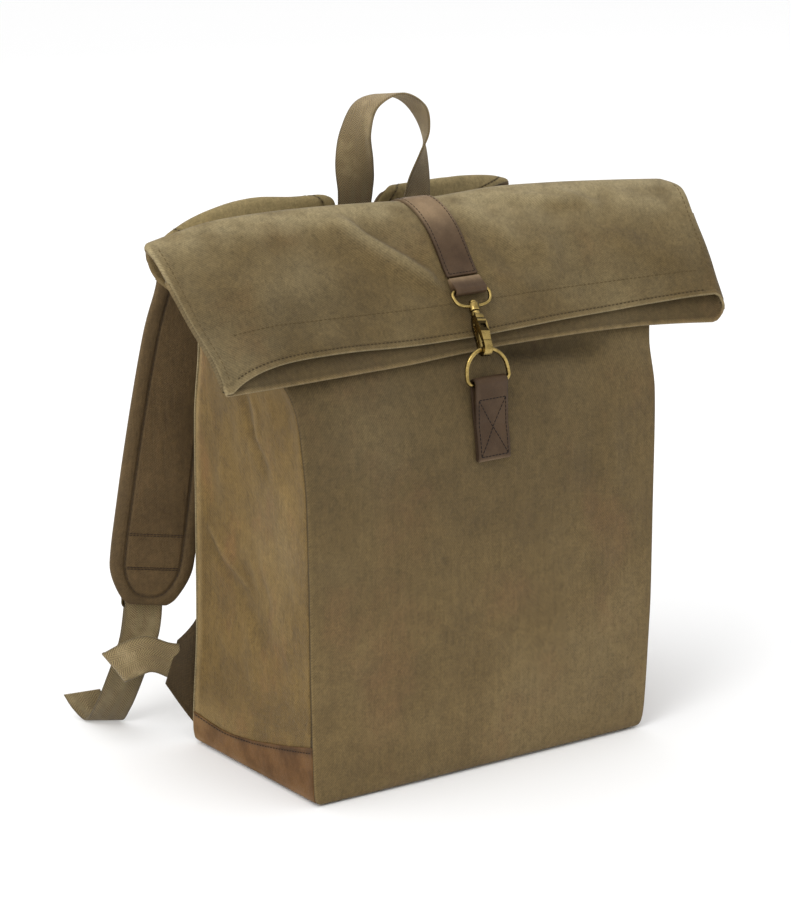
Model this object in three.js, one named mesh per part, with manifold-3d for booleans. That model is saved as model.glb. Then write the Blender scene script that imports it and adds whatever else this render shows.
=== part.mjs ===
import * as THREE from "three";
import Module from "manifold-3d";

const wasm = await Module();
wasm.setup();

// Waxed canvas roll-top backpack, millimetres, +Z up, front towards -Y, base centre at the origin.

// Cloth, leather and gaps
const clothThickness = 1.8;
const baseThickness = 2;
const leatherThickness = 1.6;
const strapThickness = 3.2;
const tabThickness = 4.8;
const webThickness = 1.6;
const seamGap = 0.4;
const strapGap = 0.9;
const wingGap = 1.6;
const seamOverhang = 2.5;

// Widths
const leatherWidth = 28;
const webWidth = 29;
const handleWidth = 29;
const padThickness = 10;

// Metal
const loopWire = 3.2;
const ringWire = 4.2;
const wireSides = 8;
const loopHalf = 16.6;
const loopDepth = 13;
const ringHalf = 18.6;
const strapStart = -12;
const pullAngle = 36;
const hangAngle = 8;
const pullLength = 46.9;

// Front cloth from the hem under the base to the lower lip: middle of the width, its ends, and how far
// the right end lies off the left one, half each way
const frontRows = [
  { at: "hem", y: -80, z: 0.4, half: 145, endY: -80, endZ: 0.4, skewY: 0, skewZ: 0 },
  { at: "turn", y: -87.5, z: 1.6, half: 152, endY: -86.5, endZ: 1.6, skewY: -2, skewZ: 0 },
  { at: "foot", y: -90.5, z: 8, half: 154.5, endY: -88.5, endZ: 8, skewY: -2.5, skewZ: 0 },
  { at: "low", y: -93, z: 90, half: 158, endY: -89, endZ: 90, skewY: -1.5, skewZ: 0 },
  { at: "middle", y: -94, z: 180, half: 160, endY: -89, endZ: 180, skewY: 0, skewZ: 0 },
  { at: "high", y: -92, z: 258, half: 162, endY: -87, endZ: 258, skewY: 0, skewZ: 0 },
  { at: "shoulder", y: -79, z: 302, half: 167, endY: -78, endZ: 310, skewY: 0, skewZ: 0 },
  { at: "slope low", y: -61.5, z: 333, half: 185, endY: -56, endZ: 344, skewY: -1, skewZ: 0 },
  { at: "slope", y: -43, z: 360, half: 213, endY: -32, endZ: 373, skewY: -4, skewZ: 0 },
  { at: "slope top", y: -20, z: 391, half: 234, endY: -14, endZ: 394, skewY: -8, skewZ: 0 },
  { at: "fold in", y: -9, z: 404, half: 236, endY: -11, endZ: 402, skewY: -9, skewZ: 0 },
  { at: "fold", y: -6.5, z: 409.5, half: 236.5, endY: -11, endZ: 407, skewY: -9, skewZ: 0 },
  { at: "fold out", y: -12.5, z: 409.5, half: 236.5, endY: -17, endZ: 407, skewY: -9, skewZ: 0 },
  { at: "under high", y: -31, z: 387, half: 232.5, endY: -39, endZ: 385, skewY: -7, skewZ: 0 },
  { at: "under", y: -48, z: 363.5, half: 229, endY: -60, endZ: 362, skewY: -4, skewZ: 0 },
  { at: "under low", y: -64.5, z: 339, half: 226, endY: -77, endZ: 340, skewY: -1, skewZ: -1 },
  { at: "lip", y: -76.5, z: 319, half: 224, endY: -89, endZ: 318.5, skewY: 0, skewZ: -3.5 },
];

// Back cloth from the hem under the base, over the ridge, to the upper lip
const backRows = [
  { at: "hem", y: 80, z: 0.4, half: 142, endY: 80, endZ: 0.4, skewY: 0, skewZ: 0 },
  { at: "turn", y: 87.5, z: 1.6, half: 149, endY: 86.5, endZ: 1.6, skewY: 0, skewZ: 0 },
  { at: "foot", y: 90.5, z: 8, half: 150.5, endY: 88.5, endZ: 8, skewY: 0, skewZ: 0 },
  { at: "low", y: 92, z: 90, half: 148.5, endY: 89, endZ: 90, skewY: 0, skewZ: 0 },
  { at: "middle", y: 93, z: 180, half: 147.5, endY: 89, endZ: 180, skewY: 0, skewZ: 0 },
  { at: "high", y: 92, z: 262, half: 147, endY: 87, endZ: 262, skewY: 0, skewZ: 0 },
  { at: "shoulder", y: 88, z: 318, half: 151, endY: 72, endZ: 323, skewY: 0, skewZ: 0 },
  { at: "slope low", y: 72, z: 352, half: 175, endY: 44, endZ: 356, skewY: -1, skewZ: 0 },
  { at: "slope", y: 47, z: 383, half: 208, endY: 14, endZ: 383, skewY: -4, skewZ: 0 },
  { at: "slope top", y: 20, z: 407, half: 233, endY: -2.5, endZ: 401, skewY: -8, skewZ: 0 },
  { at: "ridge back", y: 5, z: 419.5, half: 236.5, endY: -4.5, endZ: 410, skewY: -9, skewZ: 0 },
  { at: "ridge", y: -6, z: 424.5, half: 237.5, endY: -10, endZ: 415.5, skewY: -9.5, skewZ: 0 },
  { at: "ridge front", y: -18, z: 418, half: 237, endY: -21, endZ: 411, skewY: -9.5, skewZ: 0 },
  { at: "flap high", y: -38, z: 395, half: 233, endY: -43, endZ: 388, skewY: -7, skewZ: 0 },
  { at: "flap", y: -57, z: 366, half: 229.5, endY: -63, endZ: 366, skewY: -4, skewZ: 1 },
  { at: "flap low", y: -68.5, z: 347, half: 226.5, endY: -80, endZ: 346, skewY: -1, skewZ: 1 },
  { at: "lip", y: -77.5, z: 331, half: 225, endY: -92.5, endZ: 329.5, skewY: 0, skewZ: 4.5 },
];

// Side cloth: how far its middle stands out from its seams, up to the slope top
const sideBelly = [
  { at: "hem", out: 0 },
  { at: "turn", out: 0 },
  { at: "foot", out: 0.5 },
  { at: "low", out: -1 },
  { at: "middle", out: -4 },
  { at: "high", out: 0 },
  { at: "shoulder", out: 4 },
  { at: "slope low", out: 4 },
  { at: "slope", out: 2 },
  { at: "slope top", out: 0 },
];

// Leather patch: top edge height from the front seam to the back seam
const patchTop = [
  { along: 0, z: 47 },
  { along: 0.25, z: 36 },
  { along: 0.5, z: 27 },
  { along: 0.75, z: 24 },
  { along: 1, z: 32 },
];

const patchTrim = 0.026;

// Webbing handle: centre line, the turn of its width about the upright and the dip of its front edge
const handleRows = [
  { at: "sewn left", x: -30, y: 62.6, z: 367.2, turn: 0, dip: 0 },
  { at: "lift left", x: -30, y: 51, z: 382.4, turn: 0, dip: 0 },
  { at: "rise left", x: -28.5, y: 44.5, z: 402, turn: 0, dip: 0 },
  { at: "leg left", x: -28, y: 41, z: 426, turn: -10, dip: 0 },
  { at: "middle left", x: -29.5, y: 40, z: 448, turn: -44, dip: 0 },
  { at: "high left", x: -28, y: 40, z: 470, turn: -74, dip: 0 },
  { at: "bend left", x: -18.5, y: 40, z: 489, turn: -87, dip: 0.02 },
  { at: "crown", x: 5, y: 41, z: 495, turn: -90, dip: 0.16 },
  { at: "bend right", x: 27, y: 42, z: 485.5, turn: -94, dip: 0.1 },
  { at: "high right", x: 36, y: 42, z: 467, turn: -110, dip: 0 },
  { at: "middle right", x: 35.5, y: 42, z: 449, turn: -134, dip: 0 },
  { at: "leg right", x: 31.5, y: 42, z: 427, turn: -160, dip: 0 },
  { at: "rise right", x: 29.5, y: 44.5, z: 403, turn: -175, dip: 0 },
  { at: "lift right", x: 30, y: 51, z: 382.4, turn: -180, dip: 0 },
  { at: "sewn right", x: 30, y: 62.6, z: 367.2, turn: -180, dip: 0 },
];

// Left padded strap: centre line, direction of its width and the width itself
const padRows = [
  { at: "sewn", x: -46, y: 88.8, z: 330, ax: 1, ay: 0, az: 0, width: 60 },
  { at: "rise", x: -49, y: 89.4, z: 358, ax: 1, ay: 0, az: 0, width: 66 },
  { at: "lean", x: -59, y: 91, z: 391, ax: 1, ay: -0.06, az: 0.05, width: 90 },
  { at: "crest", x: -85, y: 98, z: 409.5, ax: 1, ay: -0.12, az: 0.06, width: 132 },
  { at: "crest out", x: -104, y: 112, z: 396, ax: 1, ay: -0.05, az: 0.1, width: 100 },
  { at: "fall", x: -116.5, y: 124, z: 358, ax: 1, ay: 0, az: 0.12, width: 74 },
  { at: "upper", x: -126.5, y: 130, z: 315, ax: 1, ay: -0.05, az: -0.1, width: 68 },
  { at: "middle", x: -139.5, y: 132, z: 245, ax: 1, ay: -0.14, az: -0.18, width: 68 },
  { at: "low", x: -151, y: 130.5, z: 182, ax: 1, ay: -0.22, az: -0.17, width: 69 },
  { at: "end in", x: -159.5, y: 128, z: 136, ax: 1, ay: -0.3, az: -0.14, width: 67 },
  { at: "end", x: -164, y: 126, z: 108, ax: 1, ay: -0.34, az: -0.14, width: 52 },
];

// Left adjusting webbing from the ear, round its fold, over the slider bar and down to the curled end
const webRows = [
  { at: "ear", x: -160.2, y: 103.2, z: 63.5, ax: 0, ay: 0, az: 1 },
  { at: "arch", x: -178, y: 108, z: 69, ax: -0.1, ay: 0.15, az: 1 },
  { at: "fold in", x: -197, y: 120, z: 62, ax: -0.35, ay: 0.62, az: 0.7 },
  { at: "fold", x: -198.8, y: 123, z: 60.2, ax: -0.35, ay: 0.62, az: 0.7 },
  { at: "fold out", x: -195.5, y: 125, z: 62.2, ax: -0.35, ay: 0.62, az: 0.7 },
  { at: "climb", x: -179, y: 129, z: 74, ax: -0.75, ay: 0.55, az: 0.35 },
  { at: "rise", x: -168.5, y: 133, z: 90, ax: -0.88, ay: 0.45, az: 0.1 },
  { at: "bar in", x: -166.6, y: 134.1, z: 103, ax: -0.9, ay: 0.43, az: 0 },
  { at: "bar", x: -165.2, y: 137.1, z: 108.4, ax: -0.9, ay: 0.43, az: 0 },
  { at: "bar out", x: -163.8, y: 139.9, z: 103, ax: -0.9, ay: 0.43, az: 0 },
  { at: "tail", x: -166.5, y: 142.5, z: 72, ax: -0.87, ay: 0.48, az: 0 },
  { at: "tail low", x: -171.5, y: 148, z: 40, ax: -0.84, ay: 0.54, az: 0 },
  { at: "tail foot", x: -178, y: 158, z: 13, ax: -0.83, ay: 0.56, az: 0 },
  { at: "floor", x: -183, y: 168, z: 1.8, ax: -0.83, ay: 0.56, az: 0 },
  { at: "curl", x: -188, y: 179, z: 6.5, ax: -0.84, ay: 0.54, az: 0 },
  { at: "end", x: -191, y: 187, z: 19, ax: -0.86, ay: 0.5, az: 0 },
];

// Left canvas ear: root on the back cloth and tip at the webbing
const ear = { rootX: -142, rootY: 92, tipX: -159.6, tipY: 102.8, thickness: 2.4 };
const earHeights = { rootLow: 8, rootHigh: 100, tipLow: 47, tipHigh: 79 };

// Left slider: a frame of two windows with the webbing over its middle bar
const slider = { x: -165.2, y: 137, z: 103, half: 18.5, bar: 2.6, pitch: 10, turn: 154.5 };

const vec = (x, y, z) => new THREE.Vector3(x, y, z);
const rad = THREE.MathUtils.degToRad;

const rowCurve = (points) => new THREE.CatmullRomCurve3(points, false, "centripetal");

function geometryFrom(points, triangles) {
  const geometry = new THREE.BufferGeometry();
  const coords = points.flatMap((p) => [p.x, p.y, p.z]);
  geometry.setAttribute("position", new THREE.Float32BufferAttribute(coords, 3));
  geometry.setIndex(triangles);
  geometry.computeVertexNormals();
  return geometry;
}

// A sheet over surface(u, v), from its outer face inwards by the thickness
function sheet(surface, thickness, columns, rows, outer = 0) {
  const points = [];
  const triangles = [];
  const step = 1e-3;
  const side = (columns + 1) * (rows + 1);
  const near = (u, v) => surface(THREE.MathUtils.clamp(u, 0, 1), THREE.MathUtils.clamp(v, 0, 1));
  const normal = (u, v) => {
    const across = near(u + step, v).sub(near(u - step, v));
    const along = near(u, v + step).sub(near(u, v - step));
    return across.cross(along).normalize();
  };
  for (const depth of [outer, outer - thickness]) {
    for (let j = 0; j <= rows; j += 1) {
      for (let i = 0; i <= columns; i += 1) {
        const u = i / columns;
        const v = j / rows;
        points.push(surface(u, v).addScaledVector(normal(u, v), depth));
      }
    }
  }
  const out = (i, j) => j * (columns + 1) + i;
  const inn = (i, j) => side + out(i, j);
  const quad = (a, b, c, d) => triangles.push(a, b, c, a, c, d);
  for (let j = 0; j < rows; j += 1) {
    for (let i = 0; i < columns; i += 1) {
      quad(out(i, j), out(i + 1, j), out(i + 1, j + 1), out(i, j + 1));
      quad(inn(i, j), inn(i, j + 1), inn(i + 1, j + 1), inn(i + 1, j));
    }
    quad(out(0, j), out(0, j + 1), inn(0, j + 1), inn(0, j));
    quad(inn(columns, j), inn(columns, j + 1), out(columns, j + 1), out(columns, j));
  }
  for (let i = 0; i < columns; i += 1) {
    quad(inn(i, 0), inn(i + 1, 0), out(i + 1, 0), out(i, 0));
    quad(out(i, rows), out(i + 1, rows), inn(i + 1, rows), inn(i, rows));
  }
  return geometryFrom(points, triangles);
}

// A solid through rings of points, closed on itself or capped at both ends
function loft(rings, closed = false) {
  const count = rings[0].length;
  const points = rings.flat();
  const triangles = [];
  const spans = closed ? rings.length : rings.length - 1;
  for (let j = 0; j < spans; j += 1) {
    const next = (j + 1) % rings.length;
    for (let i = 0; i < count; i += 1) {
      const k = (i + 1) % count;
      const [a, b, c, d] = [j * count + i, j * count + k, next * count + k, next * count + i];
      triangles.push(a, b, c, a, c, d);
    }
  }
  if (!closed) {
    const middle = (ring) => ring.reduce((sum, p) => sum.add(p), vec(0, 0, 0)).divideScalar(count);
    const last = (rings.length - 1) * count;
    points.push(middle(rings[0]), middle(rings[rings.length - 1]));
    for (let i = 0; i < count; i += 1) {
      const k = (i + 1) % count;
      triangles.push(rings.length * count, k, i);
      triangles.push(rings.length * count + 1, last + i, last + k);
    }
  }
  return geometryFrom(points, triangles);
}

function mirrored(geometry) {
  const copy = geometry.clone();
  copy.scale(-1, 1, 1);
  const index = copy.getIndex();
  for (let i = 0; i < index.count; i += 3) {
    const first = index.getX(i);
    index.setX(i, index.getX(i + 1));
    index.setX(i + 1, first);
  }
  copy.computeVertexNormals();
  return copy;
}

// Joining and cutting
function toSolid(geometry) {
  const position = geometry.getAttribute("position");
  const index = geometry.getIndex();
  const corners = index ? Array.from(index.array) : Array.from({ length: position.count }, (_, i) => i);
  const seen = new Map();
  const coords = [];
  const corner = (i) => {
    const xyz = [position.getX(i), position.getY(i), position.getZ(i)];
    const key = xyz.map((c) => Math.round(c * 1e4)).join(" ");
    if (!seen.has(key)) {
      seen.set(key, coords.length / 3);
      coords.push(...xyz);
    }
    return seen.get(key);
  };
  const triangles = [];
  for (let i = 0; i < corners.length; i += 3) {
    const [a, b, c] = [corner(corners[i]), corner(corners[i + 1]), corner(corners[i + 2])];
    if (a !== b && b !== c && c !== a) triangles.push(a, b, c);
  }
  const mesh = new wasm.Mesh({
    numProp: 3,
    vertProperties: new Float32Array(coords),
    triVerts: new Uint32Array(triangles),
  });
  return new wasm.Manifold(mesh);
}

function fromSolid(solid) {
  const mesh = solid.getMesh();
  const geometry = new THREE.BufferGeometry();
  geometry.setAttribute("position", new THREE.Float32BufferAttribute(Array.from(mesh.vertProperties), 3));
  geometry.setIndex(Array.from(mesh.triVerts));
  geometry.computeVertexNormals();
  return geometry;
}

// Cloth of the body
function panelSurface(rows, facing) {
  const middles = rowCurve(rows.map((r) => vec(r.half, r.y, r.z)));
  const ends = rowCurve(rows.map((r) => vec(r.half, r.endY, r.endZ)));
  const skews = rowCurve(rows.map((r, i) => vec(i * 20, r.skewY, r.skewZ)));
  return (u, v) => {
    const across = (2 * u - 1) * facing;
    const middle = middles.getPoint(v);
    const end = ends.getPoint(v);
    const skew = skews.getPoint(v);
    const share = Math.abs(across) ** 2.4;
    const point = middle.clone().lerp(end, share);
    return vec(across * middle.x, point.y + across * skew.y, point.z + across * share * skew.z);
  };
}

const frontSurface = panelSurface(frontRows, 1);
const backSurface = panelSurface(backRows, -1);
const sideRows = sideBelly.length;
const sideShare = (sideRows - 1) / (frontRows.length - 1);

function surfaceNormal(surface, u, v) {
  const step = 1e-3;
  const across = surface(u + step, v).sub(surface(u - step, v));
  const along = surface(u, v + step).sub(surface(u, Math.max(0, v - step)));
  return across.cross(along).normalize();
}

// Side cloth, -1 left or 1 right, between the inner faces of the front and back cloth
function sidePoint(side, along, v) {
  const inset = clothThickness + seamGap + wingGap * THREE.MathUtils.smoothstep(v, 0.6, 0.9);
  const height = v * sideShare;
  const [frontEnd, backEnd] = side < 0 ? [0, 1] : [1, 0];
  const front = frontSurface(frontEnd, height);
  front.addScaledVector(surfaceNormal(frontSurface, frontEnd, height), -inset);
  const back = backSurface(backEnd, height);
  back.addScaledVector(surfaceNormal(backSurface, backEnd, height), -inset);
  const at = v * (sideRows - 1);
  const row = Math.min(Math.floor(at), sideRows - 2);
  const belly = THREE.MathUtils.lerp(sideBelly[row].out, sideBelly[row + 1].out, at - row);
  const point = front.lerp(back, along);
  point.x += side * (belly * Math.sin(Math.PI * along) - seamOverhang);
  return point;
}

const sideSurface = (side) => (u, v) => sidePoint(side, side < 0 ? 1 - u : u, v);

function patchHeight(along) {
  const curve = rowCurve(patchTop.map((r) => vec(r.along, r.z, 0)));
  return curve.getPoint(along).y;
}

// Leather patch on the outer face of the side cloth, from its hem to the curved top edge
const patchSurface = (side) => (u, v) => {
  const along = side < 0 ? 1 - u : u;
  const wanted = patchHeight(along);
  let low = 0;
  let high = 1;
  for (let i = 0; i < 30; i += 1) {
    const tried = (low + high) / 2;
    if (sidePoint(side, along, tried).z < wanted) low = tried;
    else high = tried;
  }
  const rise = low * v ** 0.8;
  const trim = patchTrim * Math.max(0, 1 - (rise * (sideRows - 1)) / 2);
  return sidePoint(side, THREE.MathUtils.lerp(trim, 1 - trim, along), rise);
};

// Straps
function ribbonSurface(rows, width) {
  const centres = rowCurve(rows.map((r) => vec(r.x, r.y, r.z)));
  const crosses = rowCurve(rows.map((r) => vec(r.ax, r.ay, r.az).normalize()));
  return (u, v) => {
    const cross = crosses.getPoint(v).normalize();
    return centres.getPoint(v).addScaledVector(cross, (u - 0.5) * width);
  };
}

const turned = (row) => ({ ...row, ax: Math.cos(rad(row.turn)), ay: Math.sin(rad(row.turn)), az: row.dip });

// Width direction square to the centre line at each row
function squared(rows) {
  const centres = rowCurve(rows.map((r) => vec(r.x, r.y, r.z)));
  return rows.map((row, i) => {
    const tangent = centres.getTangent(i / (rows.length - 1));
    const cross = vec(row.ax, row.ay, row.az);
    cross.addScaledVector(tangent, -cross.dot(tangent)).normalize();
    return { ...row, ax: cross.x, ay: cross.y, az: cross.z };
  });
}

function padGeometry(rows, steps, sides) {
  const centres = rowCurve(rows.map((r) => vec(r.x, r.y, r.z)));
  const crosses = rowCurve(rows.map((r) => vec(r.ax, r.ay, r.az).normalize()));
  const widths = rowCurve(rows.map((r, i) => vec(i * 20, r.width, 0)));
  const rings = [];
  for (let j = 0; j <= steps; j += 1) {
    const v = j / steps;
    const tangent = centres.getTangent(v);
    const cross = crosses.getPoint(v).normalize();
    const normal = vec(0, 0, 0).crossVectors(tangent, cross).normalize();
    const ring = [];
    for (let i = 0; i < sides; i += 1) {
      const angle = (2 * Math.PI * i) / sides + Math.PI / sides;
      const wide = Math.sign(Math.cos(angle)) * Math.abs(Math.cos(angle)) ** 0.5;
      const deep = Math.sign(Math.sin(angle)) * Math.abs(Math.sin(angle)) ** 0.5;
      const point = centres.getPoint(v);
      point.addScaledVector(cross, (wide * widths.getPoint(v).y) / 2);
      point.addScaledVector(normal, (deep * padThickness) / 2);
      ring.push(point);
    }
    rings.push(ring);
  }
  return loft(rings);
}

// Metal on the pull line, from the bar of the loop down to the ring
const loopBar = vec(0, -64.5, 364.5);
const ringBar = vec(-1, -90, 300);
const straight = vec(0, -Math.sin(rad(pullAngle)), -Math.cos(rad(pullAngle)));
const pull = straight.clone().multiplyScalar(Math.cos(rad(hangAngle))).setX(-Math.sin(rad(hangAngle)));
const outward = vec(0, -Math.cos(rad(pullAngle)), Math.sin(rad(pullAngle)));
const sideways = pull.clone().cross(outward);
const hookFrame = new THREE.Matrix4().makeBasis(pull, outward, sideways).setPosition(loopBar);
const ringTop = loopBar.clone().addScaledVector(pull, pullLength);

function wireLoop(path, wire, steps) {
  const rings = [];
  const curve = new THREE.CatmullRomCurve3(path, true, "centripetal");
  const spaced = curve.getSpacedPoints(steps).slice(0, steps);
  const plane = path[0].clone().sub(path[4]).cross(path[2].clone().sub(path[4])).normalize();
  spaced.forEach((point, i) => {
    const before = spaced[(i + steps - 1) % steps];
    const after = spaced[(i + 1) % steps];
    const tangent = after.clone().sub(before).normalize();
    const radial = plane.clone().cross(tangent).normalize();
    const ring = [];
    for (let k = 0; k < wireSides; k += 1) {
      const angle = (2 * Math.PI * k) / wireSides;
      const offset = radial.clone().multiplyScalar(Math.cos(angle)).addScaledVector(plane, Math.sin(angle));
      ring.push(point.clone().addScaledVector(offset, -wire / 2));
    }
    rings.push(ring);
  });
  return loft(rings, true);
}

// Points of a loop with a straight bar: across along X, down along the given direction
function barLoop(bar, along, half, legs, depth, corner) {
  const place = (x, t) => bar.clone().add(vec(x, 0, 0)).addScaledVector(along, t);
  const path = [];
  for (const share of [-1, -0.35, 0.35, 1]) path.push(place(share * (half - corner), 0));
  path.push(place(half, corner));
  const turns = 8;
  for (let i = 1; i < turns; i += 1) {
    const angle = (Math.PI * i) / turns;
    path.push(place(half * Math.cos(angle), legs + (depth - legs) * Math.sin(angle)));
  }
  path.push(place(-half, corner));
  return path;
}

function alongX(radius, length, sides) {
  return new THREE.CylinderGeometry(radius, radius, length, sides).rotateZ(Math.PI / 2);
}

// A cylinder on the pull line from one distance to another
function onPull(radius, from, to, sides = 16) {
  const cylinder = new THREE.CylinderGeometry(radius, radius, to - from, sides);
  cylinder.rotateZ(-Math.PI / 2);
  cylinder.translate((from + to) / 2, 0, 0);
  return toSolid(cylinder.applyMatrix4(hookFrame));
}

// A flat shape drawn on the pull line, along it and outwards, as thick as given
function plateOnPull(shape, thickness) {
  const options = { depth: thickness, bevelEnabled: false, curveSegments: 10 };
  const plate = new THREE.ExtrudeGeometry(shape, options);
  plate.translate(0, 0, -thickness / 2);
  return toSolid(plate.applyMatrix4(hookFrame));
}

const boss = { top: 11, bottom: 17.4, radius: 4, bore: 1.95 };
const hook = { top: 17.9, thick: 6, wall: 3.2, bend: 47, throat: 3, neck: 25.5, nose: 43.6 };
const gate = { pivot: 27, out: 3, radius: 2.6, thick: 5.2, tip: 43.1 };

function swivelLoop() {
  const path = barLoop(loopBar, straight, loopHalf, 1.5, loopDepth, 2.4);
  const wire = toSolid(wireLoop(path, loopWire, 32));
  const eye = onPull(boss.radius, boss.top, boss.bottom);
  const bore = onPull(boss.bore, boss.top - 6, boss.bottom + 6, 12);
  return fromSolid(wire.add(eye).subtract(bore));
}

function hookBody() {
  const outer = hook.throat + hook.wall;
  const shape = new THREE.Shape();
  shape.moveTo(hook.top + 1.6, -2.4);
  shape.lineTo(hook.top + 4.6, -outer + 1.4);
  shape.lineTo(hook.neck + 1.5, -outer);
  shape.lineTo(hook.bend, -outer);
  shape.absarc(hook.bend, 0, outer, -Math.PI / 2, Math.PI / 2, false);
  shape.lineTo(hook.nose, outer);
  shape.lineTo(hook.nose, hook.throat);
  shape.lineTo(hook.bend, hook.throat);
  shape.absarc(hook.bend, 0, hook.throat, Math.PI / 2, -Math.PI / 2, true);
  shape.lineTo(hook.neck + 2, -hook.throat);
  shape.lineTo(hook.neck, 0);
  shape.lineTo(hook.neck, 4.4);
  shape.lineTo(hook.top + 4.2, 4.4);
  shape.lineTo(hook.top + 1.6, 2.8);
  shape.closePath();
  const plate = plateOnPull(shape, hook.thick);
  const knuckle = toSolid(
    alongX(gate.radius + 0.35, hook.thick + 4, 20).applyMatrix4(pivotFrame()),
  );
  const collar = onPull(3.6, hook.top, hook.top + 3.4);
  const post = onPull(1.5, boss.top - 1, hook.top + 1, 12);
  const head = onPull(2.9, boss.top - 1.9, boss.top - 0.4, 12);
  return fromSolid(plate.subtract(knuckle).add(collar).add(post).add(head));
}

function pivotFrame() {
  const at = loopBar.clone().addScaledVector(pull, gate.pivot).addScaledVector(outward, gate.out);
  return new THREE.Matrix4().makeBasis(sideways, pull, outward).setPosition(at);
}

function hookGate() {
  const shape = new THREE.Shape();
  shape.moveTo(gate.pivot, gate.out - gate.radius + 0.1);
  shape.lineTo(gate.pivot + 8, 2.4);
  shape.lineTo(gate.tip, 3.4);
  shape.lineTo(gate.tip, 6.1);
  shape.lineTo(gate.pivot + 9, 6.6);
  shape.lineTo(gate.pivot, gate.out + gate.radius - 0.1);
  shape.closePath();
  const lever = plateOnPull(shape, gate.thick);
  const knuckle = toSolid(alongX(gate.radius, gate.thick, 20).applyMatrix4(pivotFrame()));
  const slot = new THREE.BoxGeometry(5.4, 3, 2.4).translate(gate.pivot + 5.4, 7.2, 0);
  slot.applyMatrix4(hookFrame);
  return fromSolid(lever.add(knuckle).subtract(toSolid(slot)));
}

// A leather strip along points in the middle plane, folded round a bar at its end
function foldedStrip(points, thickness, bar, wire, outerRadius) {
  const line = new THREE.CatmullRomCurve3(points, false, "centripetal");
  const steps = 3 * (points.length - 1);
  const surface = (u, v) => line.getPoint(v).add(vec((u - 0.5) * leatherWidth, 0, 0));
  const strip = toSolid(sheet(surface, thickness, 1, steps, thickness / 2));
  const place = new THREE.Matrix4().setPosition(bar);
  const eye = toSolid(alongX(outerRadius, leatherWidth, 20).applyMatrix4(place));
  const bore = toSolid(alongX(wire / 2 + seamGap, leatherWidth + 10, 16).applyMatrix4(place));
  return fromSolid(strip.add(eye).subtract(bore));
}

const backRow = (name) => backRows.findIndex((r) => r.at === name) / (backRows.length - 1);
const frontRow = (name) => frontRows.findIndex((r) => r.at === name) / (frontRows.length - 1);

function lifted(surface, v, height) {
  return surface(0.5, v).addScaledVector(surfaceNormal(surface, 0.5, v), height);
}

function closingStrap() {
  const points = [];
  const from = backRow("slope") + 0.02;
  const to = backRow("flap high") + 0.035;
  const rows = 11;
  for (let i = 0; i <= rows; i += 1) {
    const point = lifted(backSurface, from + ((to - from) * i) / rows, strapGap + strapThickness / 2);
    point.x = THREE.MathUtils.lerp(strapStart, loopBar.x, i / rows);
    points.push(point);
  }
  points.push(loopBar.clone());
  return foldedStrip(points, strapThickness, loopBar, loopWire, loopWire / 2 + seamGap + 2.2);
}

function frontTab() {
  const points = [];
  const from = frontRow("middle") + 0.0487;
  const to = frontRow("high") + 0.012;
  for (let i = 0; i <= 3; i += 1) {
    const point = lifted(frontSurface, from + ((to - from) * i) / 3, seamGap + tabThickness / 2);
    points.push(point.setX(ringBar.x));
  }
  points.push(ringBar.clone());
  return foldedStrip(points, tabThickness, ringBar, ringWire, ringWire / 2 + seamGap + 2.2);
}

function dRing() {
  const along = ringTop.clone().sub(ringBar);
  const depth = along.length();
  const path = barLoop(ringBar, along.normalize(), ringHalf, depth - ringHalf, depth, 3);
  return wireLoop(path, ringWire, 36);
}

function basePanel() {
  const halfX = backRows[0].half - seamOverhang - 2 * seamGap;
  const halfY = backRows[0].y - 2 * seamGap;
  const corner = 6;
  const shape = new THREE.Shape();
  shape.moveTo(-halfX + corner, -halfY);
  shape.lineTo(halfX - corner, -halfY);
  shape.absarc(halfX - corner, -halfY + corner, corner, -Math.PI / 2, 0, false);
  shape.absarc(halfX - corner, halfY - corner, corner, 0, Math.PI / 2, false);
  shape.absarc(-halfX + corner, halfY - corner, corner, Math.PI / 2, Math.PI, false);
  shape.absarc(-halfX + corner, -halfY + corner, corner, Math.PI, 1.5 * Math.PI, false);
  return new THREE.ExtrudeGeometry(shape, { depth: baseThickness, bevelEnabled: false, curveSegments: 4 });
}

function earSurface(u, v) {
  const low = THREE.MathUtils.lerp(earHeights.rootLow, earHeights.tipLow, v);
  const high = THREE.MathUtils.lerp(earHeights.rootHigh, earHeights.tipHigh, v);
  const x = THREE.MathUtils.lerp(ear.rootX, ear.tipX, v);
  const y = THREE.MathUtils.lerp(ear.rootY, ear.tipY, v);
  return vec(x, y, THREE.MathUtils.lerp(low, high, u));
}

function sliderFrame() {
  const place = new THREE.Matrix4().makeRotationZ(rad(slider.turn));
  place.setPosition(slider.x, slider.y, slider.z);
  const block = (width, height, z) => new THREE.BoxGeometry(width, slider.bar, height).translate(0, 0, z);
  const whole = toSolid(block(2 * slider.half, 2 * slider.pitch + slider.bar, 0).applyMatrix4(place));
  const inner = 2 * slider.half - 2 * slider.bar;
  const opening = slider.pitch - slider.bar;
  const window = (z) => toSolid(block(inner, opening, z).scale(1, 3, 1).applyMatrix4(place));
  return fromSolid(whole.subtract(window(slider.pitch / 2)).subtract(window(-slider.pitch / 2)));
}

const finish = {
  canvas: { color: 0x74623f, roughness: 0.85, metalness: 0 },
  side: { color: 0x857045, roughness: 0.85, metalness: 0 },
  pad: { color: 0x5e4d36, roughness: 0.9, metalness: 0 },
  webbing: { color: 0x857551, roughness: 0.9, metalness: 0 },
  leather: { color: 0x4d352a, roughness: 0.5, metalness: 0 },
  patch: { color: 0x5d3d27, roughness: 0.5, metalness: 0 },
  brass: { color: 0x9a8253, roughness: 0.35, metalness: 1 },
};

const backpack = new THREE.Group();
backpack.name = "roll_top_backpack";

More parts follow.
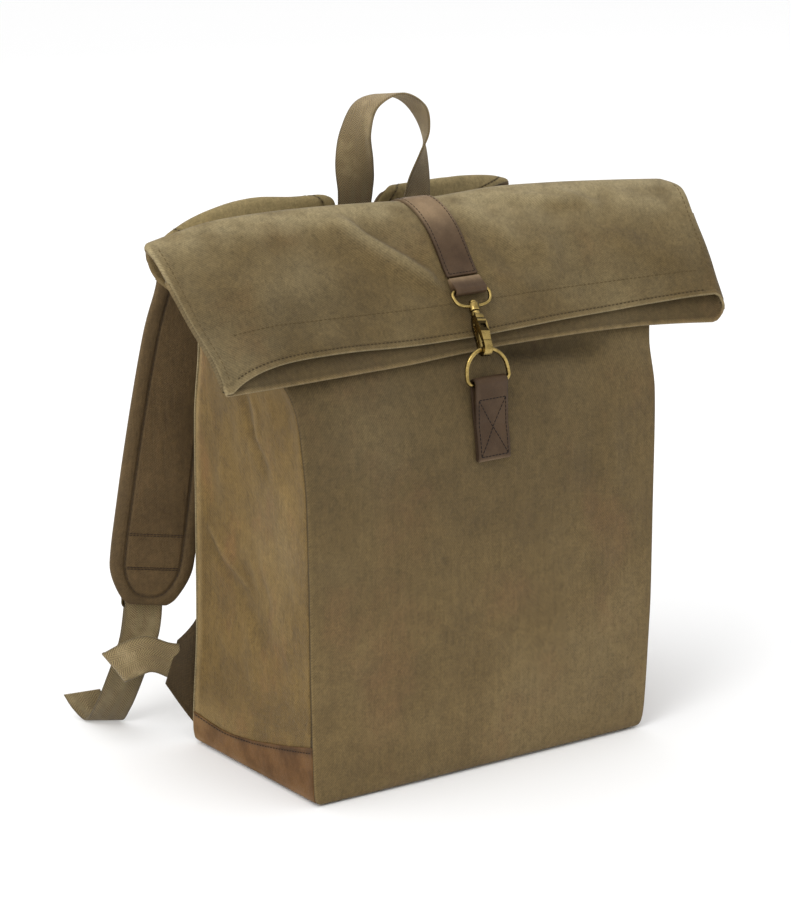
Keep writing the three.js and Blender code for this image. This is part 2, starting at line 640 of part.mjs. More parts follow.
function add(name, geometry, look) {
  const mesh = new THREE.Mesh(geometry, new THREE.MeshStandardMaterial(finish[look]));
  mesh.name = name;
  backpack.add(mesh);
}

const panelColumns = 16;
const panelSteps = 2 * (frontRows.length - 1);
add("front_panel", sheet(frontSurface, clothThickness, panelColumns, panelSteps), "canvas");
add("back_panel", sheet(backSurface, clothThickness, panelColumns, panelSteps), "canvas");
for (const [name, side] of [["left", -1], ["right", 1]]) {
  add(`gusset_${name}`, sheet(sideSurface(side), clothThickness, 6, 2 * (sideRows - 1)), "side");
  const patchOuter = leatherThickness + seamGap + 0.2;
  add(`side_patch_${name}`, sheet(patchSurface(side), leatherThickness, 10, 5, patchOuter), "patch");
}
add("base_panel", basePanel(), "canvas");
add("closing_strap", closingStrap(), "leather");
add("front_tab", frontTab(), "leather");
add("swivel_loop", swivelLoop(), "brass");
add("hook_body", hookBody(), "brass");
add("hook_gate", hookGate(), "brass");
add("d_ring", dRing(), "brass");
const handleEven = squared(handleRows.map(turned));
const handleSurface = ribbonSurface(handleEven, handleWidth);
const handleSteps = 3 * (handleRows.length - 1);
add("carry_handle", sheet(handleSurface, webThickness, 2, handleSteps, webThickness / 2), "webbing");
const padLeft = padGeometry(padRows, 24, 12);
add("shoulder_pad_left", padLeft, "pad");
add("shoulder_pad_right", mirrored(padLeft), "pad");
const webSurface = ribbonSurface(webRows, webWidth);
const webLeft = sheet(webSurface, webThickness, 2, 3 * (webRows.length - 1), webThickness / 2);
add("strap_web_left", webLeft, "webbing");
add("strap_web_right", mirrored(webLeft), "webbing");
const earLeft = sheet(earSurface, ear.thickness, 2, 2, ear.thickness / 2);
add("ear_left", earLeft, "canvas");
add("ear_right", mirrored(earLeft), "canvas");
const sliderLeft = sliderFrame();
add("slider_left", sliderLeft, "brass");
add("slider_right", mirrored(sliderLeft), "brass");

export default backpack;
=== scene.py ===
import math
import bpy
import numpy as np
from mathutils import Matrix, Vector


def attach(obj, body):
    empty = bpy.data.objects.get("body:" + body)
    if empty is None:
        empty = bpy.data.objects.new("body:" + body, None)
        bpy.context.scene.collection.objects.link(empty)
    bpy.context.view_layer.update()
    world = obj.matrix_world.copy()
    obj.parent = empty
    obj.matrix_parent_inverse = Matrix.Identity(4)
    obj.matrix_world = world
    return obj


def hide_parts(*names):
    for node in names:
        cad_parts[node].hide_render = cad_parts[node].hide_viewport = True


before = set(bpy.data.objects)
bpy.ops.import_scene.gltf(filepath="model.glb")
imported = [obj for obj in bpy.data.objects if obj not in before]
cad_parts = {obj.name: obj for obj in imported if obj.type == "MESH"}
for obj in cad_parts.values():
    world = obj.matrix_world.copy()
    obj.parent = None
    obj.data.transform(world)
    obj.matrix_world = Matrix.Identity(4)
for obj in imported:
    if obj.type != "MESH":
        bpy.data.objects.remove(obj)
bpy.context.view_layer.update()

mm = 0.001
sides = (("left", -1), ("right", 1))
print("frame loaded:", len(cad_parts), "nodes")


# camera at the photo's angle
photoView = {
    "place": (-1.466, -2.017, 0.902), "target": (0.0, 0.0, 0.220), "lens": 136.0,
    "shift": (-0.0248, 0.0120), "far": 50.0,
}

cameraData = bpy.data.cameras.new("photoCamera")
camera = bpy.data.objects.new("photoCamera", cameraData)
bpy.context.scene.collection.objects.link(camera)
camera.location = photoView["place"]
aim = Vector(photoView["target"]) - Vector(photoView["place"])
camera.rotation_euler = aim.to_track_quat("-Z", "Y").to_euler()
cameraData.lens = photoView["lens"]
cameraData.shift_x, cameraData.shift_y = photoView["shift"]
cameraData.clip_end = photoView["far"]
bpy.context.scene.camera = camera


# small tools
def deselectAll():
    if bpy.context.object and bpy.context.object.mode != "OBJECT":
        bpy.ops.object.mode_set(mode="OBJECT")
    bpy.ops.object.select_all(action="DESELECT")


def pick(piece):
    deselectAll()
    piece.select_set(True)
    bpy.context.view_layer.objects.active = piece


def tone(code, gain=1.0):
    channels = [int(code[i:i + 2], 16) / 255 for i in (0, 2, 4)]
    linear = [c / 12.92 if c <= 0.04045 else ((c + 0.055) / 1.055) ** 2.4 for c in channels]
    return (*[gain * c for c in linear], 1.0)


def smooth(value, low, high):
    share = np.clip((value - low) / (high - low), 0, 1)
    return share * share * (3 - 2 * share)


def band(value, low, rise, fall, high):
    # 1 between rise and fall, fading to 0 at low and high
    return smooth(value, low, rise) * (1 - smooth(value, fall, high))


def near(value, low, high):
    # 1 near zero, fading to 0 between low and high
    return 1 - smooth(np.abs(value), low, high)


def bell(value, width):
    return np.exp(-(value / width) ** 2)


def catmull(points, at):
    # centripetal curve through the points, 0 to 1 by point index
    points = np.asarray(points, float)
    last = len(points) - 1
    t = np.clip(np.asarray(at, float), 0, 1) * last
    i = np.minimum(t.astype(int), last - 1)
    w = (t - i)[..., None]
    p1, p2 = points[i], points[i + 1]
    p0 = np.where((i > 0)[..., None], points[np.maximum(i - 1, 0)], 2 * p1 - p2)
    p3 = np.where((i < last - 1)[..., None], points[np.minimum(i + 2, last)], 2 * p2 - p1)
    d0, d1, d2 = [np.sum((b - a) ** 2, -1, keepdims=True) ** 0.25 for a, b in ((p0, p1), (p1, p2), (p2, p3))]
    d1 = np.where(d1 < 1e-4, 1.0, d1)
    d0, d2 = np.where(d0 < 1e-4, d1, d0), np.where(d2 < 1e-4, d1, d2)
    t1 = ((p1 - p0) / d0 - (p2 - p0) / (d0 + d1) + (p2 - p1) / d1) * d1
    t2 = ((p2 - p1) / d1 - (p3 - p1) / (d1 + d2) + (p3 - p2) / d2) * d1
    return p1 + t1 * w + (3 * (p2 - p1) - 2 * t1 - t2) * w ** 2 + (2 * (p1 - p2) + t1 + t2) * w ** 3


def unit(vectors):
    return vectors / np.maximum(np.linalg.norm(vectors, axis=-1, keepdims=True), 1e-9)


def lengthsAlong(points):
    return np.concatenate([[0], np.cumsum(np.linalg.norm(np.diff(points, axis=0), axis=1))])


def tableOf(names, *rows):
    # rows of values, each named by its column
    return [dict(zip(names.split(), row)) for row in rows]


def columnsOf(rows, *names):
    return np.array([[row[name] for name in names] for row in rows], float)


def valuesAlong(rows, names, at):
    # smooth values through the rows, as if each stood 20 from the next
    steps = np.arange(len(rows)) * 20
    return catmull(np.column_stack([steps, columnsOf(rows, *names)]), at)[..., 1:]


def heightAlong(rows, x):
    # smooth height over x, through rows of a place and a height
    line = catmull(rows, np.linspace(0, 1, 400))
    return np.interp(x, line[:, 0], line[:, 1])


def softNoise(points, wave, seed):
    # smooth waves over points in mm, about -1 to 1
    rng = np.random.default_rng(seed)
    total = np.zeros(points.shape[:-1])
    for _ in range(12):
        direction = rng.normal(size=3)
        direction /= np.linalg.norm(direction)
        length = wave * rng.uniform(0.6, 1.7)
        total += np.sin(points @ direction * (2 * np.pi / length) + rng.uniform(0, 2 * np.pi))
    return total / 4


def waveField(points, *waves):
    # soft waves, each with its height and length in mm and its seed
    return sum(height * softNoise(points, length, seed) for height, length, seed in waves)


def creaseField(creases, a, b):
    # ridges and dents along straight lines, fading at their ends
    total = np.zeros_like(a)
    for row in creases:
        (x0, y0), (x1, y1) = row["start"], row["stop"]
        length = math.hypot(x1 - x0, y1 - y0)
        along = ((a - x0) * (x1 - x0) + (b - y0) * (y1 - y0)) / length ** 2
        off = ((a - x0) * (y1 - y0) - (b - y0) * (x1 - x0)) / length
        total += row["rise"] * bell(off, row["width"]) * band(along, -0.12, 0.22, 0.78, 1.12)
    return total


def gridNormals(points):
    across = np.gradient(points, axis=1)
    along = np.gradient(points, axis=0)
    return unit(np.cross(across, along))


def coordsOf(piece):
    coords = np.zeros(len(piece.data.vertices) * 3)
    piece.data.vertices.foreach_get("co", coords)
    return coords.reshape(-1, 3)


def widen(values, count):
    # the same value in every column of a row
    return np.repeat(values[:, None], count, 1)


def clothOf(first, second, third):
    # two places along the cloth in mm, then the rub, shade or distance that its material reads
    return np.stack([first * mm, second * mm, third], -1)


def setCloth(piece, values):
    attribute = piece.data.attributes.new("cloth", "FLOAT_VECTOR", "POINT")
    attribute.data.foreach_set("vector", values.astype(np.float32).ravel())


def gridPiece(name, points, cloth, **values):
    # a grid primitive with its points set on a surface in mm, rows by columns
    deselectAll()
    rows, columns = points.shape[0] - 1, points.shape[1] - 1
    bpy.ops.mesh.primitive_grid_add(x_subdivisions=columns, y_subdivisions=rows, size=1)
    piece = bpy.context.active_object
    piece.name = name
    piece.data.name = name
    start = coordsOf(piece)
    i = np.rint((start[:, 0] + 0.5) * columns).astype(int)
    j = np.rint((start[:, 1] + 0.5) * rows).astype(int)
    piece.data.vertices.foreach_set("co", (points[j, i] * mm).ravel())
    setCloth(piece, cloth[j, i])
    for label, value in values.items():
        attribute = piece.data.attributes.new(label, "FLOAT", "POINT")
        attribute.data.foreach_set("value", value[j, i].astype(np.float32).ravel())
    piece.data.update()
    return piece


def addModifier(piece, kind, **values):
    pick(piece)
    bpy.ops.object.modifier_add(type=kind)
    modifier = piece.modifiers[-1]
    for key, value in values.items():
        setattr(modifier, key, value)
    bpy.ops.object.modifier_apply(modifier=modifier.name)


def roundRims(piece, width, segments, limit, angle):
    # bevels of a width in mm, then smooth shading under the angle in degrees
    if width:
        bevel = {"width": width * mm, "segments": segments, "angle_limit": math.radians(limit)}
        addModifier(piece, "BEVEL", limit_method="ANGLE", **bevel)
    pick(piece)
    bpy.ops.object.shade_smooth_by_angle(angle=math.radians(angle))


def thicken(piece, thickness, round=0.45, angle=40):
    # the thickness in mm goes inwards
    addModifier(piece, "SOLIDIFY", thickness=thickness * mm, offset=-1.0)
    roundRims(piece, round, 2, 55, angle)


def meshPiece(name, points, edges, faces):
    mesh = bpy.data.meshes.new(name)
    mesh.from_pydata((np.asarray(points) * mm).tolist(), edges, faces)
    piece = bpy.data.objects.new(name, mesh)
    bpy.context.scene.collection.objects.link(piece)
    return piece


def extrude(piece, move, bridge=False):
    # the face, or the band between two outlines, is drawn out by a move in mm
    pick(piece)
    bpy.ops.object.mode_set(mode="EDIT")
    bpy.ops.mesh.select_all(action="SELECT")
    if bridge:
        bpy.ops.mesh.bridge_edge_loops()
        bpy.ops.mesh.select_all(action="SELECT")
    bpy.ops.mesh.extrude_region_move(TRANSFORM_OT_translate={"value": tuple(np.asarray(move) * mm)})
    bpy.ops.mesh.select_all(action="SELECT")
    bpy.ops.mesh.normals_make_consistent(inside=False)
    bpy.ops.object.mode_set(mode="OBJECT")


def settle(piece, body, slot, material, *nodes):
    piece.data.materials.clear()
    piece.data.materials.append(material)
    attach(piece, body)
    if nodes:
        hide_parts(*nodes)


def sampleGrid(grid, column, row):
    # points and normals at fractional columns and rows
    points, normals = grid
    column = np.clip(column, 0, points.shape[1] - 1.001)
    row = np.clip(row, 0, points.shape[0] - 1.001)
    i, j = column.astype(int), row.astype(int)
    a, b = (column - i)[:, None], (row - j)[:, None]
    found = []
    for values in (points, normals):
        low = values[j, i] * (1 - a) + values[j, i + 1] * a
        high = values[j + 1, i] * (1 - a) + values[j + 1, i + 1] * a
        found.append(low * (1 - b) + high * b)
    return found[0], unit(found[1])


# shader helpers
def newGroup(name, inputs, outputs):
    # each socket is written as its name and kind
    group = bpy.data.node_groups.new(name, "ShaderNodeTree")
    for sockets, way in ((inputs, "INPUT"), (outputs, "OUTPUT")):
        for entry in sockets.split():
            label, kind = entry.split(":")
            group.interface.new_socket(name=label, in_out=way, socket_type="NodeSocket" + kind)
    return group, group.nodes.new("NodeGroupInput").outputs, group.nodes.new("NodeGroupOutput").inputs


def node(tree, kind, **values):
    made = tree.nodes.new("ShaderNode" + kind)
    for key, value in values.items():
        setattr(made, key, value)
    return made


def feed(tree, socket, value):
    if isinstance(value, bpy.types.NodeSocket):
        tree.links.new(value, socket)
    else:
        socket.default_value = value


def maths(tree, operation, first, second=0.0, third=None):
    made = node(tree, "Math", operation=operation)
    feed(tree, made.inputs[0], first)
    feed(tree, made.inputs[1], second)
    if third is not None:
        feed(tree, made.inputs[2], third)
    return made.outputs[0]


def weighed(tree, total, *pairs):
    # a total plus each value times its weight
    for value, weight in pairs:
        total = maths(tree, "MULTIPLY_ADD", value, weight, total)
    return total


def sineOf(tree, value, period):
    return maths(tree, "SINE", maths(tree, "MULTIPLY", value, 2 * math.pi / period))


def splitVector(tree, vector):
    made = node(tree, "SeparateXYZ")
    tree.links.new(vector, made.inputs[0])
    return made.outputs


def spread(tree, value, low, high, first=0.0, second=1.0):
    made = node(tree, "MapRange", interpolation_type="SMOOTHSTEP")
    for socket, amount in zip(made.inputs, (value, low, high, first, second)):
        feed(tree, socket, amount)
    return made.outputs[0]


def blendColors(tree, share, first, second, kind="MIX"):
    made = node(tree, "Mix", data_type="RGBA", blend_type=kind)
    feed(tree, made.inputs["Factor"], share)
    feed(tree, made.inputs[6], first)
    feed(tree, made.inputs[7], second)
    return made.outputs[2]


def noiseOf(tree, vector, scale, detail=4.0, rough=0.55, stretch=None):
    if stretch:
        mapping = node(tree, "Mapping")
        tree.links.new(vector, mapping.inputs["Vector"])
        mapping.inputs["Scale"].default_value = stretch
        vector = mapping.outputs["Vector"]
    made = node(tree, "TexNoise")
    tree.links.new(vector, made.inputs["Vector"])
    made.inputs["Scale"].default_value = scale
    made.inputs["Detail"].default_value = detail
    made.inputs["Roughness"].default_value = rough
    return made.outputs["Fac"]


def newMaterial(name, rough=0.7, metallic=0.0, specular=0.4):
    material = bpy.data.materials.new(name)
    material.use_nodes = True
    shader = material.node_tree.nodes["Principled BSDF"]
    shader.inputs["Roughness"].default_value = rough
    shader.inputs["Metallic"].default_value = metallic
    shader.inputs["Specular IOR Level"].default_value = specular
    return material, material.node_tree, shader


def placeGroup(tree, group, **values):
    made = node(tree, "Group", node_tree=group)
    for label, value in values.items():
        feed(tree, made.inputs[label], value)
    return made


def bumpInto(tree, shader, height, depth):
    bump = node(tree, "Bump")
    bump.inputs["Distance"].default_value = depth
    bump.inputs["Strength"].default_value = 1.0
    tree.links.new(height, bump.inputs["Height"])
    tree.links.new(bump.outputs["Normal"], shader.inputs["Normal"])


def objectCoords(tree):
    return node(tree, "TexCoord").outputs["Object"]


def attributeValue(tree, name):
    return node(tree, "Attribute", attribute_name=name).outputs["Fac"]


def clothCoords(tree):
    return node(tree, "Attribute", attribute_name="cloth").outputs["Vector"]


# light: a pale room, brighter on the left, with soft lamps
studio = {
    "floor": 0.94, "floorSize": 14.0, "floorDrop": 0.0004, "ambient": 0.82, "sideLight": 0.55,
    "towards": (-0.85, -0.3, 0.45), "lampsAim": (0.0, 0.0, 0.2),
}
lights = tableOf(
    "name place size power",
    ("keyLight", (-2.3, -1.1, 1.9), 1.3, 26),
    ("topLight", (-0.3, -0.4, 2.9), 1.8, 10),
    ("backLight", (0.6, 2.6, 1.6), 2.2, 10),
)

world = bpy.data.worlds.new("studioWorld")
world.use_nodes = True
bpy.context.scene.world = world
bpy.context.scene.view_settings.view_transform = "Standard"
sky = world.node_tree
turned = node(sky, "VectorMath", operation="DOT_PRODUCT")
sky.links.new(node(sky, "TexCoord").outputs["Generated"], turned.inputs[0])
turned.inputs[1].default_value = Vector(studio["towards"]).normalized()
brighter = maths(sky, "MAXIMUM", turned.outputs["Value"], 0.0)
strength = maths(sky, "MULTIPLY_ADD", brighter, studio["sideLight"], studio["ambient"])
sky.nodes["Background"].inputs["Color"].default_value = (1.0, 1.0, 1.0, 1.0)
sky.links.new(strength, sky.nodes["Background"].inputs["Strength"])
for row in lights:
    lightData = bpy.data.lights.new(row["name"], "AREA")
    lightData.shape = "DISK"
    lightData.size = row["size"]
    lightData.energy = row["power"]
    light = bpy.data.objects.new(row["name"], lightData)
    bpy.context.scene.collection.objects.link(light)
    light.location = row["place"]
    aim = Vector(studio["lampsAim"]) - Vector(row["place"])
    light.rotation_euler = aim.to_track_quat("-Z", "Y").to_euler()


# wax marks, twill and fading of the canvas, with the painted highlights and painted shade that each piece
# passes in
def makeCanvasGroup():
    group, given, out = newGroup(
        "waxedCanvas",
        "Place:Vector Cloth:Vector Seam:Float Plain:Color Pale:Color Deep:Color Rust:Color Marks:Float",
        "Color:Color Roughness:Float Height:Float",
    )
    place, marks = given["Place"], given["Marks"]
    across, along, rubbed = splitVector(group, given["Cloth"])
    broad = noiseOf(group, place, 7.0, 3.0, 0.5)
    clouds = noiseOf(group, place, 26.0, 6.0, 0.66)
    rusty = noiseOf(group, place, 15.0, 6.0, 0.68, (1.0, 1.3, 0.8))
    mottle = noiseOf(group, place, 125.0, 4.0, 0.62)
    slubs = noiseOf(group, place, 330.0, 3.0, 0.6, (1.0, 1.0, 0.1))
    grain = noiseOf(group, place, 300.0, 3.0, 0.6)
    specks = noiseOf(group, place, 800.0, 2.0, 0.6)
    rib = sineOf(group, maths(group, "ADD", across, along), 0.0021)
    thread = sineOf(group, across, 0.0009)
    deepShare = maths(group, "MULTIPLY", spread(group, clouds, 0.6, 0.36, 0.0, 0.8), marks)
    paleShare = maths(group, "MULTIPLY", spread(group, broad, 0.42, 0.74, 0.0, 0.6), marks)
    rustShare = maths(group, "MULTIPLY", spread(group, rusty, 0.5, 0.74, 0.0, 0.6), marks)
    color = blendColors(group, deepShare, given["Plain"], given["Deep"])
    color = blendColors(group, paleShare, color, given["Pale"])
    color = blendColors(group, rustShare, color, given["Rust"])
    # paler where the cloth's third value says: worn rims, and painted highlights on ridges and edges
    color = blendColors(group, spread(group, rubbed, 0.1, 1.0, 0.0, 0.85), color, given["Pale"])
    shade = weighed(group, -0.1, (rib, 0.1), (specks, 0.66), (grain, 0.6), (mottle, 0.5), (slubs, 0.44))
    # darkened by the attribute: painted shade in seams, dents, valleys and under the flap, with other darkening
    dark = maths(group, "MULTIPLY_ADD", given["Seam"], -0.72, 1.0)
    color = blendColors(group, 1.0, color, maths(group, "MULTIPLY", shade, dark), "MULTIPLY")
    group.links.new(color, out["Color"])
    group.links.new(spread(group, clouds, 0.35, 0.65, 0.62, 0.8), out["Roughness"])
    weave = weighed(group, 0.0, (rib, 0.3), (thread, 0.15), (specks, 1.0), (grain, 1.2))
    weave = weighed(group, weave, (slubs, 1.1), (mottle, 1.8), (clouds, 2.2))
    group.links.new(weave, out["Height"])
    return group


# a groove under a row of thread, at a distance from the edge
def makeSeamGroup():
    group, given, out = newGroup("sewnLine", "Distance:Float Line:Float Width:Float", "Mask:Float")
    off = maths(group, "ABSOLUTE", maths(group, "SUBTRACT", given["Distance"], given["Line"]))
    share = maths(group, "DIVIDE", off, given["Width"])
    group.links.new(spread(group, share, 1.0, 0.0), out["Mask"])
    return group


# grain, rubbed bends and raw edges of leather, with the painted highlights and painted shade that each piece
# passes in
def makeLeatherGroup():
    group, given, out = newGroup(
        "oiledLeather",
        "Place:Vector Cloth:Vector Seam:Float Plain:Color Rubbed:Color Deep:Color",
        "Color:Color Roughness:Float Height:Float",
    )
    place = given["Place"]
    leatherWearAndHighlight = splitVector(group, given["Cloth"])[2]
    broad = noiseOf(group, place, 22.0, 4.0, 0.6)
    clouds = noiseOf(group, place, 60.0, 5.0, 0.6)
    fine = noiseOf(group, place, 700.0, 3.0, 0.6)
    pores = node(group, "TexVoronoi", feature="DISTANCE_TO_EDGE")
    group.links.new(place, pores.inputs["Vector"])
    pores.inputs["Scale"].default_value = 900.0
    cells = spread(group, pores.outputs["Distance"], 0.0, 0.28)
    deepShare = spread(group, clouds, 0.42, 0.66, 0.0, 0.6)
    color = blendColors(group, deepShare, given["Plain"], given["Deep"])
    color = blendColors(group, spread(group, broad, 0.44, 0.62, 0.0, 0.7), color, given["Deep"])
    # paler where the cloth's third value says: rubbed bends, and the painted highlight on the loop's fold
    mottledWearAndHighlight = maths(group, "MULTIPLY", leatherWearAndHighlight, spread(group, clouds, 0.3, 0.65, 1.06, 0.84))
    color = blendColors(group, spread(group, mottledWearAndHighlight, 0.05, 1.0), color, given["Rubbed"])
    dark = maths(group, "MULTIPLY_ADD", given["Seam"], -0.75, 1.0)
    shade = maths(group, "MULTIPLY", weighed(group, 0.85, (fine, 0.3)), dark)
    color = blendColors(group, 1.0, color, shade, "MULTIPLY")
    group.links.new(color, out["Color"])
    group.links.new(spread(group, clouds, 0.3, 0.7, 0.42, 0.58), out["Roughness"])
    group.links.new(weighed(group, 0.0, (cells, 0.35), (fine, 0.5)), out["Height"])
    return group


# zigzag ribs of the webbing, with painted light and shade along it
def makeWebGroup():
    group, given, out = newGroup(
        "twillWebbing",
        "Place:Vector Cloth:Vector Plain:Color Pale:Color Deep:Color",
        "Color:Color Height:Float",
    )
    across, along, paintedLightAndSelvedge = splitVector(group, given["Cloth"])
    zig = maths(group, "PINGPONG", across, 0.0048)
    ribs = sineOf(group, maths(group, "ADD", along, zig), 0.0019)
    threads = sineOf(group, across, 0.0011)
    clouds = noiseOf(group, given["Place"], 45.0, 4.0, 0.6)
    specks = noiseOf(group, given["Place"], 600.0, 2.0, 0.6)
    weave = weighed(group, 0.0, (ribs, 0.6), (threads, 0.3))
    share = spread(group, weighed(group, weave, (specks, 0.9)), -0.4, 1.0)
    color = blendColors(group, share, given["Deep"], given["Plain"])
    color = blendColors(group, spread(group, clouds, 0.48, 0.72, 0.0, 0.6), color, given["Pale"])
    # painted light and shade along the strap, and darker selvedges
    color = blendColors(group, 1.0, color, maths(group, "ADD", paintedLightAndSelvedge, 1.0), "MULTIPLY")
    group.links.new(color, out["Color"])
    group.links.new(weighed(group, weave, (specks, 0.6)), out["Height"])
    return group


canvasGroup = makeCanvasGroup()
seamGroup = makeSeamGroup()
leatherGroup = makeLeatherGroup()
webGroup = makeWebGroup()


canvasTones = tableOf(
    "name plain pale deep rust marks hem",
    ("front", "675637", "827252", "58482b", "725438", 0.6, 0.0046),
    ("back", "5f4f31", "918362", "4d3f25", "654c2e", 0.6, 0.0046),
    ("side", "69542e", "86714a", "574423", "745333", 0.9, 0),
    # the ear's darker tones are painted shade, a shaded copy of the canvas
    ("ear", "3d301c", "4c3e27", "332817", "402e1a", 0.6, 0),
    ("base", "544327", "625133", "453720", "58402a", 0.8, 0),
)


def clothInputs(tree):
    return {"Place": objectCoords(tree), "Cloth": clothCoords(tree), "Seam": attributeValue(tree, "seam")}


def sewnMask(tree, distance, line, width):
    return placeGroup(tree, seamGroup, Distance=distance, Line=line, Width=width).outputs["Mask"]


def canvasMaterial(look):
    material, tree, shader = newMaterial(look["name"] + "Canvas", specular=0.16)
    group = placeGroup(
        tree, canvasGroup, Plain=tone(look["plain"]), Pale=tone(look["pale"]), Deep=tone(look["deep"]),
        Rust=tone(look["rust"]), Marks=look["marks"], **clothInputs(tree),
    )
    color, height = group.outputs["Color"], group.outputs["Height"]
    if look["hem"]:
        mask = sewnMask(tree, attributeValue(tree, "hem"), look["hem"], 0.0022)
        color = blendColors(tree, maths(tree, "MULTIPLY", mask, 0.2), color, tone(look["deep"], 0.6))
        height = maths(tree, "SUBTRACT", height, maths(tree, "MULTIPLY", mask, 2.2))
    tree.links.new(color, shader.inputs["Base Color"])
    tree.links.new(group.outputs["Roughness"], shader.inputs["Roughness"])
    shader.inputs["Sheen Weight"].default_value = 0.04
    shader.inputs["Sheen Roughness"].default_value = 0.5
    bumpInto(tree, shader, height, 0.00022)
    return material


def leatherMaterial(name, plain, rubbed, deep, specular=0.26):
    material, tree, shader = newMaterial(name, specular=specular)
    group = placeGroup(
        tree, leatherGroup, Plain=tone(plain), Rubbed=tone(rubbed), Deep=tone(deep), **clothInputs(tree)
    )
    tree.links.new(group.outputs["Color"], shader.inputs["Base Color"])
    tree.links.new(group.outputs["Roughness"], shader.inputs["Roughness"])
    bumpInto(tree, shader, group.outputs["Height"], 0.00018)
    return material


def webMaterial(name, plain, pale, deep):
    material, tree, shader = newMaterial(name, rough=0.82, specular=0.25)
    group = placeGroup(
        tree, webGroup, Place=objectCoords(tree), Cloth=clothCoords(tree), Plain=tone(plain), Pale=tone(pale),
        Deep=tone(deep),
    )
    tree.links.new(group.outputs["Color"], shader.inputs["Base Color"])
    shader.inputs["Sheen Weight"].default_value = 0.15
    bumpInto(tree, shader, group.outputs["Height"], 0.00035)
    return material


def brassMaterial(name, bright, dull, dark):
    material, tree, shader = newMaterial(name, rough=0.3, metallic=1.0, specular=0.5)
    place = objectCoords(tree)
    clouds = noiseOf(tree, place, 130.0, 5.0, 0.65)
    scratches = noiseOf(tree, place, 900.0, 3.0, 0.6, (1.0, 1.0, 0.12))
    color = blendColors(tree, spread(tree, clouds, 0.42, 0.7, 0.0, 0.7), tone(bright), tone(dull))
    # painted dark reflections towards the grazing edges
    facing = node(tree, "LayerWeight")
    facing.inputs["Blend"].default_value = 0.5
    color = blendColors(tree, spread(tree, facing.outputs["Facing"], 0.2, 0.8, 0.0, 0.95), color, tone(dark))
    tree.links.new(color, shader.inputs["Base Color"])
    tree.links.new(spread(tree, clouds, 0.3, 0.7, 0.16, 0.36), shader.inputs["Roughness"])
    bumpInto(tree, shader, scratches, 0.00006)
    return material


def threadMaterial(name, code):
    material, tree, shader = newMaterial(name, rough=0.75, specular=0.25)
    twist = noiseOf(tree, objectCoords(tree), 1500.0, 2.0, 0.6)
    tree.links.new(blendColors(tree, twist, tone(code, 0.75), tone(code, 1.25)), shader.inputs["Base Color"])
    bumpInto(tree, shader, twist, 0.0001)
    return material


frontCanvas, backCanvas, sideCanvas, shadedEarCanvas, baseCanvas = [canvasMaterial(look) for look in canvasTones]
strapLeather = leatherMaterial("strapLeather", "473523", "988062", "39291a", 0.22)
patchLeather = leatherMaterial("patchLeather", "64441e", "806035", "482e13", 0.16)
webbing = webMaterial("webbing", "7b6946", "91805c", "4b3d26")
strapWebbing = webMaterial("strapWebbing", "8c7a55", "a2916c", "554730")
brass = brassMaterial("antiqueBrass", "ad955a", "5f4e28", "181207")
darkBrass = brassMaterial("darkBrass", "41361f", "2c2313", "100c06")
canvasThread = threadMaterial("canvasThread", "382b16")
paleThread = threadMaterial("paleThread", "514226")
padThread = threadMaterial("padThread", "33271a")
leatherThread = threadMaterial("leatherThread", "150d08")
print("materials made")


# cloth of the body: the same rows as the solids, mm
frontRows = tableOf(
    "at y z half endY endZ skewY skewZ",
    ("hem", -80, 0.4, 145, -80, 0.4, 0, 0),
    ("turn", -87.5, 1.6, 152, -86.5, 1.6, -2, 0),
    ("foot", -90.5, 8, 154.5, -88.5, 8, -2.5, 0),
    ("low", -93, 90, 158, -89, 90, -1.5, 0),
    ("middle", -94, 180, 160, -89, 180, 0, 0),
    ("high", -92, 258, 162, -87, 258, 0, 0),
    ("shoulder", -79, 302, 167, -78, 310, 0, 0),
    ("slope low", -61.5, 333, 185, -56, 344, -1, 0),
    ("slope", -43, 360, 213, -32, 373, -4, 0),
    ("slope top", -20, 391, 234, -14, 394, -8, 0),
    ("fold in", -9, 404, 236, -11, 402, -9, 0),
    ("fold", -6.5, 409.5, 236.5, -11, 407, -9, 0),
    ("fold out", -12.5, 409.5, 236.5, -17, 407, -9, 0),
    ("under high", -31, 387, 232.5, -39, 385, -7, 0),
    ("under", -48, 363.5, 229, -60, 362, -4, 0),
    ("under low", -64.5, 339, 226, -77, 340, -1, -1),
    ("lip", -76.5, 319, 224, -89, 318.5, 0, -3.5),
)
backRows = tableOf(
    "at y z half endY endZ skewY skewZ",
    ("hem", 80, 0.4, 142, 80, 0.4, 0, 0),
    ("turn", 87.5, 1.6, 149, 86.5, 1.6, 0, 0),
    ("foot", 90.5, 8, 150.5, 88.5, 8, 0, 0),
    ("low", 92, 90, 146.5, 89, 90, 0, 0),
    ("middle", 93, 180, 145.5, 89, 180, 0, 0),
    ("high", 92, 262, 146, 87, 262, 0, 0),
    ("shoulder", 88, 318, 151, 72, 323, 0, 0),
    ("slope low", 72, 352, 175, 44, 356, -1, 0),
    ("slope", 47, 383, 208, 14, 383, -4, 0),
    ("slope top", 20, 407, 233, -2.5, 401, -8, 0),
    ("ridge back", 5, 419.5, 236.5, -4.5, 410, -9, 0),
    ("ridge", -6, 424.5, 237.5, -10, 415.5, -9.5, 0),
    ("ridge front", -18, 418, 237, -21, 411, -9.5, 0),
    ("flap high", -38, 395, 233, -43, 388, -7, 0),
    ("flap", -57, 366, 229.5, -63, 366, -4, 1),
    ("flap low", -68.5, 347, 226.5, -80, 346, -1, 1),
    ("lip", -77.5, 331, 225, -92.5, 329.5, 0, 4.5),
)
lastRow = len(backRows) - 1
sideBelly = [0, 0, 0.5, -1, -4, 0, 4, 4, 2, 0]
